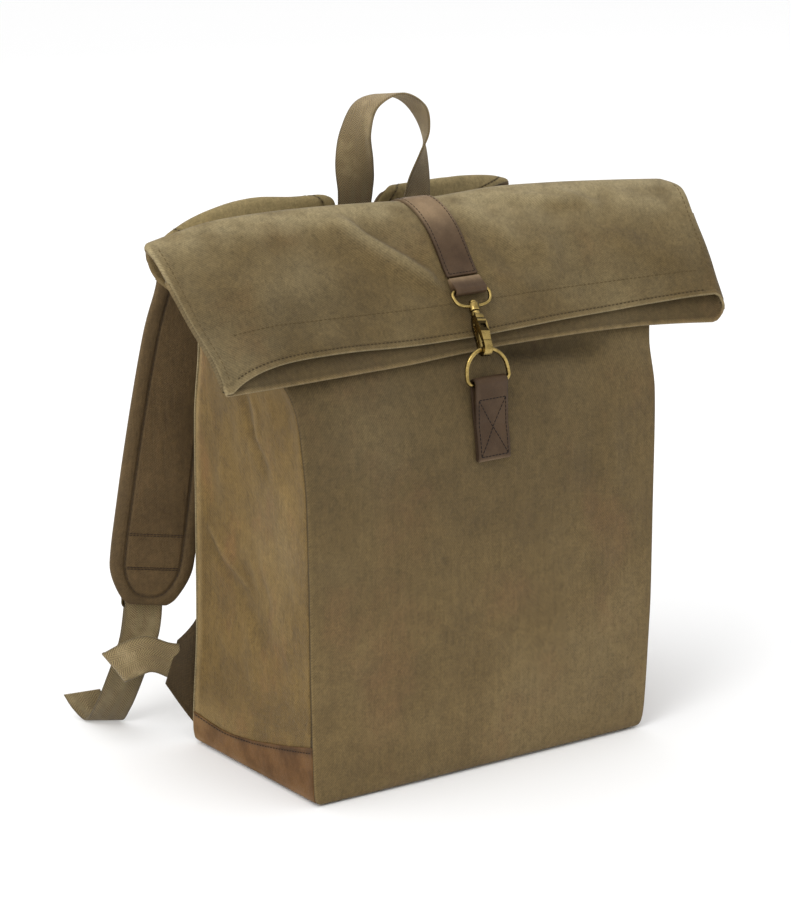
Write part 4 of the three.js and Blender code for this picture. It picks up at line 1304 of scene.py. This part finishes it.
def foldedTabLine():
    # up the outer layer, round the bar and down the inner layer
    v = np.linspace(4 / lastRow + 0.0487, 5 / lastRow + 0.012, 12)
    outer = lifted(frontRows, 1, v, clothSizes["seamGap"] + tabSizes["thick"] * 1.5 + 0.15)
    inner = lifted(frontRows, 1, v, clothSizes["seamGap"] + tabSizes["thick"] * 0.5)
    up = unit(ringBar - (outer[-1] + inner[-1]) / 2)
    out = np.array([0, up[2], -up[1]]) * (-1 if up[2] > 0 else 1)
    angles = np.radians(np.linspace(-15, 195, 15))
    fold = [ringBar + tabSizes["foldRadius"] * (math.sin(a) * up + math.cos(a) * out) for a in angles]
    line = np.concatenate([outer, fold, inner[::-1]])
    line[:, 0] = ringBar[0]
    return catmull(line, evenly(line, 1.0)[0])


def makeFrontTab():
    def rubbed(s):
        return 0.4 * bell(s, 2.2)

    grid, normals, lengths = leatherStrip(
        "front_tab_leather", foldedTabLine(), leatherSizes["width"] + tabSizes["wider"], tabSizes["thick"],
        rubbed, ("front_tab",),
    )
    low, high = np.interp([tabSizes["boxLow"], tabSizes["boxHigh"]], lengths, np.arange(len(lengths)))
    first, last = tabSizes["boxColumns"]
    lines = crossBox((grid, normals), [(first, low), (last, low), (last, high), (first, high)], 40)
    makeStitches("tab_stitches", lines, leatherThread, "leather", lift=0.05, long=2.8, pitch=2.9, thick=0.66)


makeClosingStrap()
makeFrontTab()
print("leather made")


# brass: ring, swivel and hook
hookSizes = {
    "top": 17.9, "wall": 3.2, "bend": 47.0, "throat": 3.0, "neck": 25.5, "nose": 43.6, "front": 4.4,
    "collar": 3.6, "collarLong": 3.4,
}
gateSizes = {
    "pivot": 27.0, "out": 3.0, "radius": 2.6, "tip": 43.1, "play": 0.35,
    "slot": (3.4, 5.4, 4.8), "slotAt": (4.6, 6.4),
}
bossSizes = {"top": 11.0, "bottom": 17.4, "radius": 4.0, "rivet": 2.9}
wireSizes = {
    "loop": 2.9, "loopHalf": 16.6, "loopLegs": 1.5, "loopDepth": 13.0, "loopCorner": 2.4, "loopSquare": 0.66,
    "ring": 3.5, "ringHalf": 18.6, "ringCorner": 3, "pullLength": 47.5,
}


def barLoop(bar, along, half, legs, depth, corner, square=1.0):
    path = [(share * (half - corner), 0) for share in (-1, -0.35, 0.35, 1)] + [(half, corner)]
    for i in range(1, 12):
        x, y = math.cos(math.pi * i / 12), math.sin(math.pi * i / 12)
        path.append((half * math.copysign(abs(x) ** square, x), legs + (depth - legs) * y ** square))
    path.append((-half, corner))
    return [bar + np.array([x, 0, 0]) + along * t for x, t in path]


def wirePiece(name, path, wire, steps=160):
    # a closed wire through points in mm
    closed = path[-2:] + path + path[:3]
    span = len(closed) - 1
    at = np.linspace(2 / span, (2 + len(path)) / span, steps + 1)[:-1]
    points = catmull(closed, at) * mm
    curveData = bpy.data.curves.new(name, "CURVE")
    curveData.dimensions = "3D"
    spline = curveData.splines.new("POLY")
    spline.points.add(len(points) - 1)
    spline.points.foreach_set("co", np.column_stack([points, np.ones(len(points))]).ravel())
    spline.use_cyclic_u = True
    curveData.bevel_depth = wire / 2 * mm
    curveData.bevel_resolution = 6
    piece = bpy.data.objects.new(name, curveData)
    bpy.context.scene.collection.objects.link(piece)
    pick(piece)
    bpy.ops.object.convert(target="MESH")
    piece = bpy.context.active_object
    pick(piece)
    bpy.ops.object.shade_smooth()
    return piece


def onPull(t, out, x=0.0):
    return loopBar + pull * t + outward * out + sideways * x


def turnedCylinder(name, radius, start, stop, round=0.4, vertices=40):
    # a cylinder between two points in mm, with rounded rims
    start, stop = np.asarray(start, float), np.asarray(stop, float)
    axis = stop - start
    deselectAll()
    bpy.ops.mesh.primitive_cylinder_add(vertices=vertices, radius=radius * mm, depth=np.linalg.norm(axis) * mm)
    piece = bpy.context.active_object
    piece.name = name
    turn = Vector(unit(axis)).to_track_quat("Z", "Y").to_matrix().to_4x4()
    piece.data.transform(Matrix.Translation(Vector((start + stop) / 2 * mm)) @ turn)
    roundRims(piece, round, 3, 40, 35)
    return piece


def platePiece(name, outline, thick):
    # an outline along the pull line and outwards, extruded across to the thickness at each point
    points = [onPull(t, out, -0.5) for t, out in outline]
    piece = meshPiece(name, points, [], [list(range(len(points)))])
    extrude(piece, sideways)
    for vertex in piece.data.vertices:
        off = np.array(vertex.co) / mm - loopBar
        t, out = off @ pull, off @ outward
        vertex.co = Vector(onPull(t, out, off @ sideways * thick(t, out)) * mm)
    return piece


def boolean(piece, cutter, operation):
    addModifier(piece, "BOOLEAN", operation=operation, object=cutter, solver="EXACT")
    bpy.data.objects.remove(cutter)


def arcPoints(t, out, radius, first, last, count):
    return [(t + radius * math.cos(a), out + radius * math.sin(a)) for a in np.linspace(first, last, count)]


def makeRing():
    top = onPull(wireSizes["pullLength"], 0)
    along = top - ringBar
    depth = np.linalg.norm(along)
    half = wireSizes["ringHalf"]
    path = barLoop(ringBar, along / depth, half, depth - half, depth, wireSizes["ringCorner"])
    piece = wirePiece("ring_wire", path, wireSizes["ring"])
    settle(piece, "bag", "brass", brass, "d_ring")


def makeSwivel():
    sizes = [wireSizes["loop" + key] for key in ("Half", "Legs", "Depth", "Corner", "Square")]
    path = barLoop(loopBar, straight, *sizes)
    loop = wirePiece("swivel_wire", path, wireSizes["loop"])
    settle(loop, "bag", "brass", brass, "swivel_loop")
    top, bottom = bossSizes["top"], bossSizes["bottom"]
    barrel = turnedCylinder("swivel_barrel", bossSizes["radius"], onPull(top, 0), onPull(bottom, 0), 0.7)
    settle(barrel, "bag", "brass", brass)
    head = turnedCylinder("swivel_rivet", bossSizes["rivet"], onPull(top - 1.9, 0), onPull(top + 0.2, 0), 0.8)
    settle(head, "bag", "brass", brass)


def makeHook():
    s = hookSizes
    outer = s["throat"] + s["wall"]
    outline = [(s["top"] + 1.6, -2.4), (s["top"] + 4.6, -outer + 1.4), (s["neck"] + 1.5, -outer)]
    outline += arcPoints(s["bend"], 0, outer, -math.pi / 2, math.pi / 2, 25)
    outline += [(s["nose"], outer), (s["nose"], s["throat"])]
    outline += arcPoints(s["bend"], 0, s["throat"], math.pi / 2, -math.pi / 2, 21)
    outline += [(s["neck"] + 2, -s["throat"]), (s["neck"], 0), (s["neck"], s["front"])]
    outline += [(s["top"] + 4.2, s["front"]), (s["top"] + 1.6, 2.8)]
    piece = platePiece("hook_spine", outline, lambda t, out: float(np.interp(out, [-4, 1], [4.6, 6.6])))
    pivot = onPull(gateSizes["pivot"], gateSizes["out"])
    across = 8.0 * sideways
    bore = gateSizes["radius"] + gateSizes["play"]
    boolean(piece, turnedCylinder("cutter", bore, pivot - across, pivot + across, 0), "DIFFERENCE")
    roundRims(piece, 0.7, 3, 32, 45)
    settle(piece, "bag", "brass", brass, "hook_body")
    low = onPull(s["top"] + s["collarLong"], 0)
    collar = turnedCylinder("hook_collar", s["collar"], onPull(s["top"], 0), low, 0.6)
    settle(collar, "bag", "brass", brass)


def makeGate():
    g = gateSizes
    outline = [(g["pivot"], g["out"] - g["radius"] + 0.1), (g["pivot"] + 8, 2.4), (g["tip"], 3.4)]
    outline += [(g["tip"], 6.1), (g["pivot"] + 9, 6.6), (g["pivot"], g["out"] + g["radius"] - 0.1)]
    span = [g["pivot"], g["tip"]]
    piece = platePiece("gate_lever", outline, lambda t, out: float(np.interp(t, span, [8.6, 6.6])))
    pivot = onPull(g["pivot"], g["out"])
    across = 3.7 * sideways
    boolean(piece, turnedCylinder("knuckle", g["radius"], pivot - across, pivot + across, 0), "UNION")
    deselectAll()
    bpy.ops.mesh.primitive_cube_add(size=1)
    slot = bpy.context.active_object
    basis = Matrix(np.column_stack([pull, outward, np.cross(pull, outward)]).tolist()).to_4x4()
    slotT, slotOut = g["slotAt"]
    centre = onPull(g["pivot"] + slotT, slotOut)
    place = Matrix.Translation(Vector(centre * mm))
    slot.data.transform(place @ basis @ Matrix.Diagonal((*[size * mm for size in g["slot"]], 1)))
    boolean(piece, slot, "DIFFERENCE")
    roundRims(piece, 0.3, 3, 32, 45)
    settle(piece, "gate", "brass", brass, "hook_gate")
    piece.data.materials.append(darkBrass)
    halfLong, _, halfWide = [size / 2 + 0.05 for size in g["slot"]]
    for face in piece.data.polygons:
        off = np.array(face.center) / mm - centre
        inside = abs(off @ pull) < halfLong and abs(off @ sideways) < halfWide and off @ outward < -0.4
        face.material_index = 1 if inside else 0


makeRing()
makeSwivel()
makeHook()
makeGate()
print("brass made")


# carry handle
handleRows = tableOf(
    "at x y z turn dip",
    ("sewn left", -30, 62.6, 367.2, 0, 0),
    ("lift left", -30, 51, 382.4, 0, 0),
    ("rise left", -28.5, 44.5, 402, 0, 0),
    ("leg left", -28, 41, 426, -10, 0),
    ("middle left", -29.5, 40, 448, -44, 0),
    ("high left", -28, 40, 470, -74, 0),
    ("bend left", -18.5, 40, 489, -87, 0.02),
    ("crown", 5, 41, 495, -90, 0.16),
    ("bend right", 27, 42, 485.5, -94, 0.1),
    ("high right", 36, 42, 467, -110, 0),
    ("middle right", 35.5, 42, 449, -134, 0),
    ("leg right", 31.5, 42, 427, -160, 0),
    ("rise right", 29.5, 44.5, 403, -175, 0),
    ("lift right", 30, 51, 382.4, -180, 0),
    ("sewn right", 30, 62.6, 367.2, -180, 0),
)
# painted light along the handle: lighter over the crown, painted shade towards the sewn ends
handlePaintedLight = [
    (0, -0.16), (0.25, -0.14), (0.4, 0.2), (0.46, 0.85), (0.55, 0.7), (0.66, 0.6), (0.76, 0.1), (1, -0.1)
]
webSizes = {
    "width": 29.0, "thick": 1.6, "columns": 14, "pitch": 1.7, "selvedge": (12.8, 14.4),
    "boxColumns": (1.5, 12.5), "boxLow": 2, "boxHigh": 17,
}


def webbingPiece(name, centres, crosses, material, cadNode, paintedLightAt):
    # the third value gives the painted light and shade at places 0 to 1 along the strap
    at, lengths = evenly(centres, webSizes["pitch"])
    line = catmull(centres, at)
    cross = unit(catmull(crosses, at))
    width, columns = webSizes["width"], webSizes["columns"]
    grid = ribbonGrid(line, cross, np.full(len(line), width), columns)
    normals = gridNormals(grid)
    x = np.repeat(np.linspace(-0.5, 0.5, columns + 1)[None, :] * width, len(line), 0)
    grid = grid + normals * (webSizes["thick"] / 2)
    paintedLightAndSelvedge = np.interp(at, *zip(*paintedLightAt))[:, None]
    paintedLightAndSelvedge = (paintedLightAndSelvedge + 1) * (1 - 0.42 * smooth(np.abs(x), *webSizes["selvedge"])) - 1  # dark selvedges
    piece = gridPiece(name, grid, clothOf(x, widen(lengths, columns + 1), paintedLightAndSelvedge))
    thicken(piece, webSizes["thick"], round=0.5, angle=60)
    settle(piece, "bag", "webbing", material, cadNode)
    return grid, normals, lengths


def makeHandle():
    centres = columnsOf(handleRows, "x", "y", "z")
    at = np.linspace(0, 1, len(handleRows))
    after, before = catmull(centres, np.minimum(at + 1e-3, 1)), catmull(centres, np.maximum(at - 1e-3, 0))
    tangents = unit(after - before)
    turns = np.radians([row["turn"] for row in handleRows])
    crosses = np.column_stack([np.cos(turns), np.sin(turns), [row["dip"] for row in handleRows]])
    crosses = unit(crosses - tangents * np.sum(crosses * tangents, 1, keepdims=True))
    grid, normals, lengths = webbingPiece(
        "handle_webbing", centres, crosses, webbing, "carry_handle", handlePaintedLight
    )
    lines = []
    first, last = webSizes["boxColumns"]
    start, stop = webSizes["boxLow"], webSizes["boxHigh"]
    for ends in ((start, stop), (lengths[-1] - stop, lengths[-1] - start)):
        low, high = np.interp(ends, lengths, np.arange(len(lengths)))
        lines += crossBox((grid, normals), [(first, low), (last, low), (last, high), (first, high)], 30)
    lines += [(p - n * webSizes["thick"], -n) for p, n in lines]  # the same on the other face
    makeStitches("handle_stitches", lines, canvasThread, "webbing")


makeHandle()


# adjusting webbing, left rows, mirrored for the right
webRows = tableOf(
    "at x y z ax ay az",
    ("sewn", -154, 99.4, 62.5, 0, 0, 1),
    ("ear", -160.2, 103.2, 63.5, 0, 0, 1),
    ("arch", -178, 108, 71, -0.1, 0.15, 1),
    ("fold in", -197, 120, 62, -0.35, 0.62, 0.7),
    ("fold", -198.8, 123, 60.2, -0.35, 0.62, 0.7),
    ("fold out", -196.4, 125.2, 59.6, -0.35, 0.62, 0.7),
    ("climb", -180, 130.5, 63, -0.8, 0.5, 0.3),
    ("rise", -169, 133.5, 77, -0.88, 0.46, 0.04),
    ("bar in", -164.4, 134.1, 103, -0.9, 0.43, 0),
    ("bar", -163.0, 137.1, 108.4, -0.9, 0.43, 0),
    ("bar out", -161.8, 139.9, 103, -0.9, 0.43, 0),
    ("tail", -165.4, 142.5, 72, -0.87, 0.48, 0),
    ("tail low", -174.6, 148, 40, -0.84, 0.54, 0),
    ("tail foot", -181.2, 158, 13, -0.83, 0.56, 0),
    ("floor", -183, 168, 1.8, -0.83, 0.56, 0),
    ("curl", -187, 179, 8, -0.84, 0.54, 0),
    ("end", -191, 187, 21, -0.86, 0.5, -0.13),
)
earSizes = {
    "rootX": -142, "rootY": 92, "tipX": -159.6, "tipY": 102.8, "thick": 2.4, "rootLow": 8, "rootHigh": 100,
    "tipLow": 46, "tipHigh": 79, "slant": 12, "columns": 24, "rows": 12, "thread": 1.6,
}
sliderSizes = {
    "x": -163.0, "y": 137.0, "z": 107.5, "half": 17.0, "bar": 2.4, "pitch": 7.5, "corner": 2.4, "turn": 154.5
}
# painted light and shade along the adjusting webbing: lighter over the arch, darker down the tail
webPaintedLight = [
    (0, 0.0), (0.1, 0.12), (0.28, 0.1), (0.4, 0.06), (0.6, 0.04), (0.7, -0.2), (0.84, -0.34), (1, -0.06)
]
mirrorX = np.array([-1.0, 1.0, 1.0])


def makeWeb(name, side):
    flip = mirrorX if side > 0 else np.ones(3)
    centres = columnsOf(webRows, "x", "y", "z") * flip
    crosses = unit(columnsOf(webRows, "ax", "ay", "az")) * flip
    crosses = crosses * (-1 if side > 0 else 1)
    webbingPiece("adjuster_webbing_" + name, centres, crosses, strapWebbing, "strap_web_" + name, webPaintedLight)


def makeEar(name, side):
    e = earSizes
    u, v = np.meshgrid(np.linspace(0, 1, e["columns"] + 1), np.linspace(0, 1, e["rows"] + 1))
    low = e["rootLow"] + (e["tipLow"] - e["rootLow"]) * v ** 1.15
    high = e["rootHigh"] + (e["tipHigh"] - e["rootHigh"]) * v ** 0.75
    sag = 1.6 * np.sin(math.pi * u) * np.sin(math.pi * v)
    x = e["rootX"] + (e["tipX"] + e["slant"] * (u - 0.5) - e["rootX"]) * v
    y = e["rootY"] + (e["tipY"] - e["rootY"]) * v
    points = np.stack([x, y, low + (high - low) * u], -1)
    normals = gridNormals(points)
    points = points + normals * (e["thick"] / 2 + sag + 0.1)[..., None]
    if side > 0:
        points = (points * mirrorX)[:, ::-1]
    piece = gridPiece("strap_ear_" + name, points, clothOf(points[..., 1], points[..., 2], 0 * u))
    thicken(piece, e["thick"], round=0.6)
    settle(piece, "bag", "canvas", shadedEarCanvas, "ear_" + name)
    normals = gridNormals(points)
    rows = np.linspace(1, e["rows"] - 1, 20)
    columns = (e["thread"], e["columns"] - e["thread"])
    lines = [gridLine((points, normals), np.full_like(rows, column), rows) for column in columns]
    makeStitches("ear_stitches_" + name, lines, canvasThread, "canvas")


def makeSlider(name, side):
    # a rounded wire frame with a middle bar
    s = sliderSizes
    flip = mirrorX if side > 0 else np.ones(3)
    turn = math.radians(s["turn"])
    along = np.array([math.cos(turn), math.sin(turn), 0])
    centre = np.array([s["x"], s["y"], s["z"]])
    halfX, halfZ, corner = s["half"] - s["bar"] / 2, s["pitch"], s["corner"]
    path = []
    for cx, cz, start in ((1, -1, -90), (1, 1, 0), (-1, 1, 90), (-1, -1, 180)):
        for step in (0, 45, 90):
            angle = math.radians(start + step)
            dx = cx * (halfX - corner) + corner * math.cos(angle)
            dz = cz * (halfZ - corner) + corner * math.sin(angle)
            path.append((centre + along * dx + np.array([0, 0, dz])) * flip)
        if cx * cz < 0:
            path.append((centre + along * cx * halfX) * flip)
    piece = wirePiece("slider_frame_" + name, path, s["bar"], steps=96)
    settle(piece, "bag", "brass", darkBrass, "slider_" + name)
    ends = [(centre + along * sign * halfX) * flip for sign in (-1, 1)]
    bar = turnedCylinder("slider_bar_" + name, s["bar"] / 2, ends[0], ends[1], 0.3, 24)
    settle(bar, "bag", "brass", darkBrass)


for sideName, side in sides:
    makeWeb(sideName, side)
    makeEar(sideName, side)
    makeSlider(sideName, side)
print("webbing, ears and sliders made")


# padded shoulder straps
padRows = tableOf(
    "at x y z ax ay az width",
    ("sewn", -46, 88.8, 330, 1, 0, 0, 60),
    ("rise", -49, 89.4, 358, 1, 0, 0, 66),
    ("lean", -59, 91, 391, 1, -0.06, 0.05, 90),
    ("crest", -85, 98, 409.5, 1, -0.12, 0.06, 132),
    ("crest out", -104, 112, 396, 1, -0.05, 0.1, 100),
    ("fall", -116.5, 124, 358, 1, 0, 0.12, 74),
    ("upper", -126.5, 130, 315, 1, -0.05, -0.1, 68),
    ("middle", -139.5, 132, 245, 1, -0.14, -0.18, 68),
    ("low", -151, 130.5, 182, 1, -0.22, -0.17, 69),
    ("end in", -160.5, 128, 133, 1, -0.3, -0.14, 67),
    ("end", -166, 126, 103.5, 1, -0.34, -0.14, 52),
)
padSizes = {
    "thick": 7.6, "droop": (20.0, 4.0), "bulge": (6.0, 6.0), "crown": (6.0, 2.0), "columns": 26, "pitch": 3.4,
    "border": 11.5, "endBorder": 5.0, "corner": 4.0, "endRound": 32.0, "endWidth": 29.0, "bars": (29.0, 55.0),
    "grooveWidth": 1.8, "heldWidth": 1.9, "cap": 2.6, "frames": 16,
}
padCloth = {
    "quality": 4, "mass": 0.3, "use_pressure": True, "uniform_pressure_force": 3.5, "vertex_group_mass": "sewn",
    "tension_stiffness": 15, "bending_stiffness": 0.6,
}


def padMaterial(name, face, border):
    # dark lining inside a lighter sewn border
    material, tree, shader = newMaterial(name, rough=0.8, specular=0.25)
    cloth = clothCoords(tree)
    fromEdge = splitVector(tree, cloth)[2]
    flat = node(tree, "VectorMath", operation="MULTIPLY")
    tree.links.new(cloth, flat.inputs[0])
    flat.inputs[1].default_value = (1, 1, 0)
    clothOnly = flat.outputs["Vector"]
    place = objectCoords(tree)
    group, rim = [
        placeGroup(
            tree, canvasGroup, Place=place, Cloth=clothOnly, Plain=tone(plain), Pale=tone(pale),
            Deep=tone(deep), Rust=tone(plain), Marks=0.8,
        )
        for plain, pale, deep in (face, border)
    ]
    line = padSizes["border"] * mm
    share = spread(tree, fromEdge, line - 0.0006, line + 0.0006)
    color = blendColors(tree, share, rim.outputs["Color"], group.outputs["Color"])
    mask = sewnMask(tree, fromEdge, line, 0.0024)
    color = blendColors(tree, maths(tree, "MULTIPLY", mask, 0.6), color, tone(face[2], 0.5))
    tree.links.new(color, shader.inputs["Base Color"])
    height = maths(tree, "SUBTRACT", group.outputs["Height"], maths(tree, "MULTIPLY", mask, 2.5))
    bumpInto(tree, shader, height, 0.0003)
    return material


padLining = padMaterial("padLining", ("57452b", "675439", "4a3a23"), ("54432a", "67553b", "483923"))
padCanvas = padMaterial("padCanvas", ("85754f", "a09069", "71603b"), ("85754f", "a09069", "71603b"))


def padGrid(side):
    centres = columnsOf(padRows, "x", "y", "z")
    droop, bulge, crown = [padSizes[key][0 if side < 0 else 1] for key in ("droop", "bulge", "crown")]
    if side > 0:
        centres[2:5, 0] -= [4, 16, 9]
    at, lengths = evenly(centres, padSizes["pitch"])
    line = catmull(centres, at)
    cross = unit(catmull(unit(columnsOf(padRows, "ax", "ay", "az")), at))
    widths = valuesAlong(padRows, ["width"], at)[:, 0]
    left = lengths[-1] - lengths
    nearEnd = 1 - np.clip(left / padSizes["endRound"], 0, 1)
    endRound = np.sqrt(np.clip(1 - nearEnd ** 2, 0, 1))
    rounded = padSizes["endWidth"] + (widths - padSizes["endWidth"]) * endRound
    widths = np.where(left < padSizes["endRound"], rounded, widths)
    columns = padSizes["columns"]
    grid = ribbonGrid(line, cross, widths, columns)
    x = np.linspace(-0.5, 0.5, columns + 1)[None, :] * widths[:, None]
    crest = bell(at * (len(padRows) - 1) - 3.2, 0.9)[:, None]
    outer = np.clip(-x / 66, 0, 1)
    grid[..., 2] -= crest * (droop * outer ** 4 - bulge * outer * (1 - outer) - crown * bell(x - 4, 28) + 2)
    corner = padSizes["corner"]
    gaps = (widths[:, None] / 2 - np.abs(x), left[:, None] + padSizes["endBorder"] + 0 * x)
    fromEdge = -corner * np.log(sum(np.exp(-gap / corner) for gap in gaps))
    return grid, x, widen(lengths, columns + 1), fromEdge, lengths, widths


def sewnPoints(piece):
    # the points that thread holds still
    cloth = np.zeros(len(piece.data.vertices) * 3, np.float32)
    piece.data.attributes["cloth"].data.foreach_get("vector", cloth)
    _, s, fromEdge = cloth.reshape(-1, 3).T / mm
    total = s.max()
    held = np.abs(fromEdge - padSizes["border"]) < padSizes["heldWidth"]
    held |= (s < 12)
    for bar in padSizes["bars"]:
        held |= (np.abs(total - s - bar) < padSizes["heldWidth"]) & (fromEdge > padSizes["border"])
    return held


def puff(piece):
    # air pressure swells the pad between its sewn lines
    start = coordsOf(piece)
    group = piece.vertex_groups.new(name="sewn")
    group.add(np.nonzero(sewnPoints(piece))[0].tolist(), 1.0, "REPLACE")
    pick(piece)
    bpy.ops.object.modifier_add(type="CLOTH")
    cloth = piece.modifiers[-1]
    for key, value in padCloth.items():
        setattr(cloth.settings, key, value)
    cloth.settings.effector_weights.gravity = 0
    cloth.collision_settings.use_collision = False
    cloth.point_cache.frame_start = 1
    cloth.point_cache.frame_end = padSizes["frames"]
    for frameNumber in range(1, padSizes["frames"] + 1):
        bpy.context.scene.frame_set(frameNumber)
    bpy.ops.object.modifier_apply(modifier=cloth.name)
    bpy.context.scene.frame_set(1)
    move = coordsOf(piece) - start
    size = np.linalg.norm(move, axis=1, keepdims=True)
    move = move * np.minimum(1, padSizes["cap"] * mm / np.maximum(size, 1e-9))
    piece.data.vertices.foreach_set("co", (start + move).ravel())
    piece.vertex_groups.clear()
    piece.data.update()


def padLines(face, back, widths, lengths):
    # both faces along the border and round the end
    corner, border, endBorder = [padSizes[key] for key in ("corner", "border", "endBorder")]
    columns, endRound = padSizes["columns"], padSizes["endRound"]
    straightPart = np.linspace(lengths[-1] - 16, endRound, 90)
    left = np.concatenate([straightPart, np.linspace(endRound - 1, border - endBorder + 0.01, 90)])
    gap = -corner * np.log(np.exp(-border / corner) - np.exp(-(left + endBorder) / corner))
    width = np.interp(lengths[-1] - left, lengths, widths)
    rows = np.interp(lengths[-1] - left, lengths, np.arange(len(lengths)))
    keep = gap < width / 2
    inset, rows = columns * gap[keep] / width[keep], rows[keep]
    there = np.concatenate([inset, columns - inset[::-1]]), np.concatenate([rows, rows[::-1]])
    return [gridLine((cover, gridNormals(cover) * turn), *there) for cover, turn in ((face, 1), (back, -1))]


def padBars(back, widths, lengths):
    # two sewn bars near the end of the lining
    cover = (back, -gridNormals(back))
    columns, rows = padSizes["columns"], np.arange(len(lengths))
    lines = []
    for bar in padSizes["bars"]:
        row = np.interp(lengths[-1] - bar, lengths, rows)
        edge = columns * padSizes["border"] / np.interp(row, rows, widths) + 0.4
        for off in (-0.2, 0.2):
            lines.append(gridLine(cover, np.linspace(edge, columns - edge, 40), np.full(40, row + off)))
    return lines


def makePad(name, side):
    grid, x, s, fromEdge, lengths, widths = padGrid(side)
    normals = gridNormals(grid)
    if side > 0:
        grid, normals = (grid * mirrorX)[:, ::-1], (normals * mirrorX)[:, ::-1]
        x, fromEdge = x[:, ::-1], fromEdge[:, ::-1]
    thin = padSizes["thick"] * (0.62 + 0.38 * smooth(fromEdge, 0, 7))
    total = s.max()
    border, grooveWidth = padSizes["border"], padSizes["grooveWidth"]
    groove = 0.9 * bell(fromEdge - border, grooveWidth)
    for bar in padSizes["bars"]:
        groove += 0.8 * bell(total - s - bar, grooveWidth) * (fromEdge > border)
    cloth = clothOf(x, s, fromEdge * mm)
    swell = normals * (thin / 2 - groove)[..., None]
    face, back = grid + swell, grid - swell
    piece = gridPiece("shoulder_pad_" + name + "_cover", face, cloth)
    under = gridPiece("padUnder", back[:, ::-1], cloth[:, ::-1])
    upFace = len(piece.data.polygons)
    pick(piece)
    under.select_set(True)
    bpy.ops.object.join()
    pick(piece)
    bpy.ops.object.mode_set(mode="EDIT")
    bpy.ops.mesh.select_all(action="DESELECT")
    bpy.ops.mesh.select_mode(type="EDGE")
    bpy.ops.mesh.select_non_manifold()
    bpy.ops.mesh.bridge_edge_loops()
    bpy.ops.mesh.select_all(action="SELECT")
    bpy.ops.mesh.normals_make_consistent(inside=False)
    bpy.ops.object.mode_set(mode="OBJECT")
    piece.data.materials.clear()
    piece.data.materials.append(padLining)
    piece.data.materials.append(padCanvas)
    shares = np.zeros(len(piece.data.polygons), np.int32)
    shares[:upFace] = 1
    piece.data.polygons.foreach_set("material_index", shares)
    puff(piece)
    addModifier(piece, "SUBSURF", levels=1, render_levels=1)
    lines, bars = padLines(face, back, widths, lengths), padBars(back, widths, lengths)
    makeStitches("pad_stitches_" + name, lines, padThread, "pad", lift=0.12)
    makeStitches("pad_bars_" + name, bars, padThread, "pad", lift=0.12, pitch=2.6, thick=0.8)
    pick(piece)
    bpy.ops.object.shade_smooth()
    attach(piece, "bag")
    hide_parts("shoulder_pad_" + name)


for sideName, side in sides:
    makePad(sideName, side)
print("pads made")


# floor
deselectAll()
bpy.ops.mesh.primitive_plane_add(size=studio["floorSize"], location=(0, 0, -studio["floorDrop"]))
floor = bpy.context.active_object
floor.name = "floor"
floorMaterial, _, floorShader = newMaterial("paleFloor", rough=0.9, specular=0.1)
floorShader.inputs["Base Color"].default_value = (studio["floor"],) * 3 + (1.0,)
floor.data.materials.append(floorMaterial)
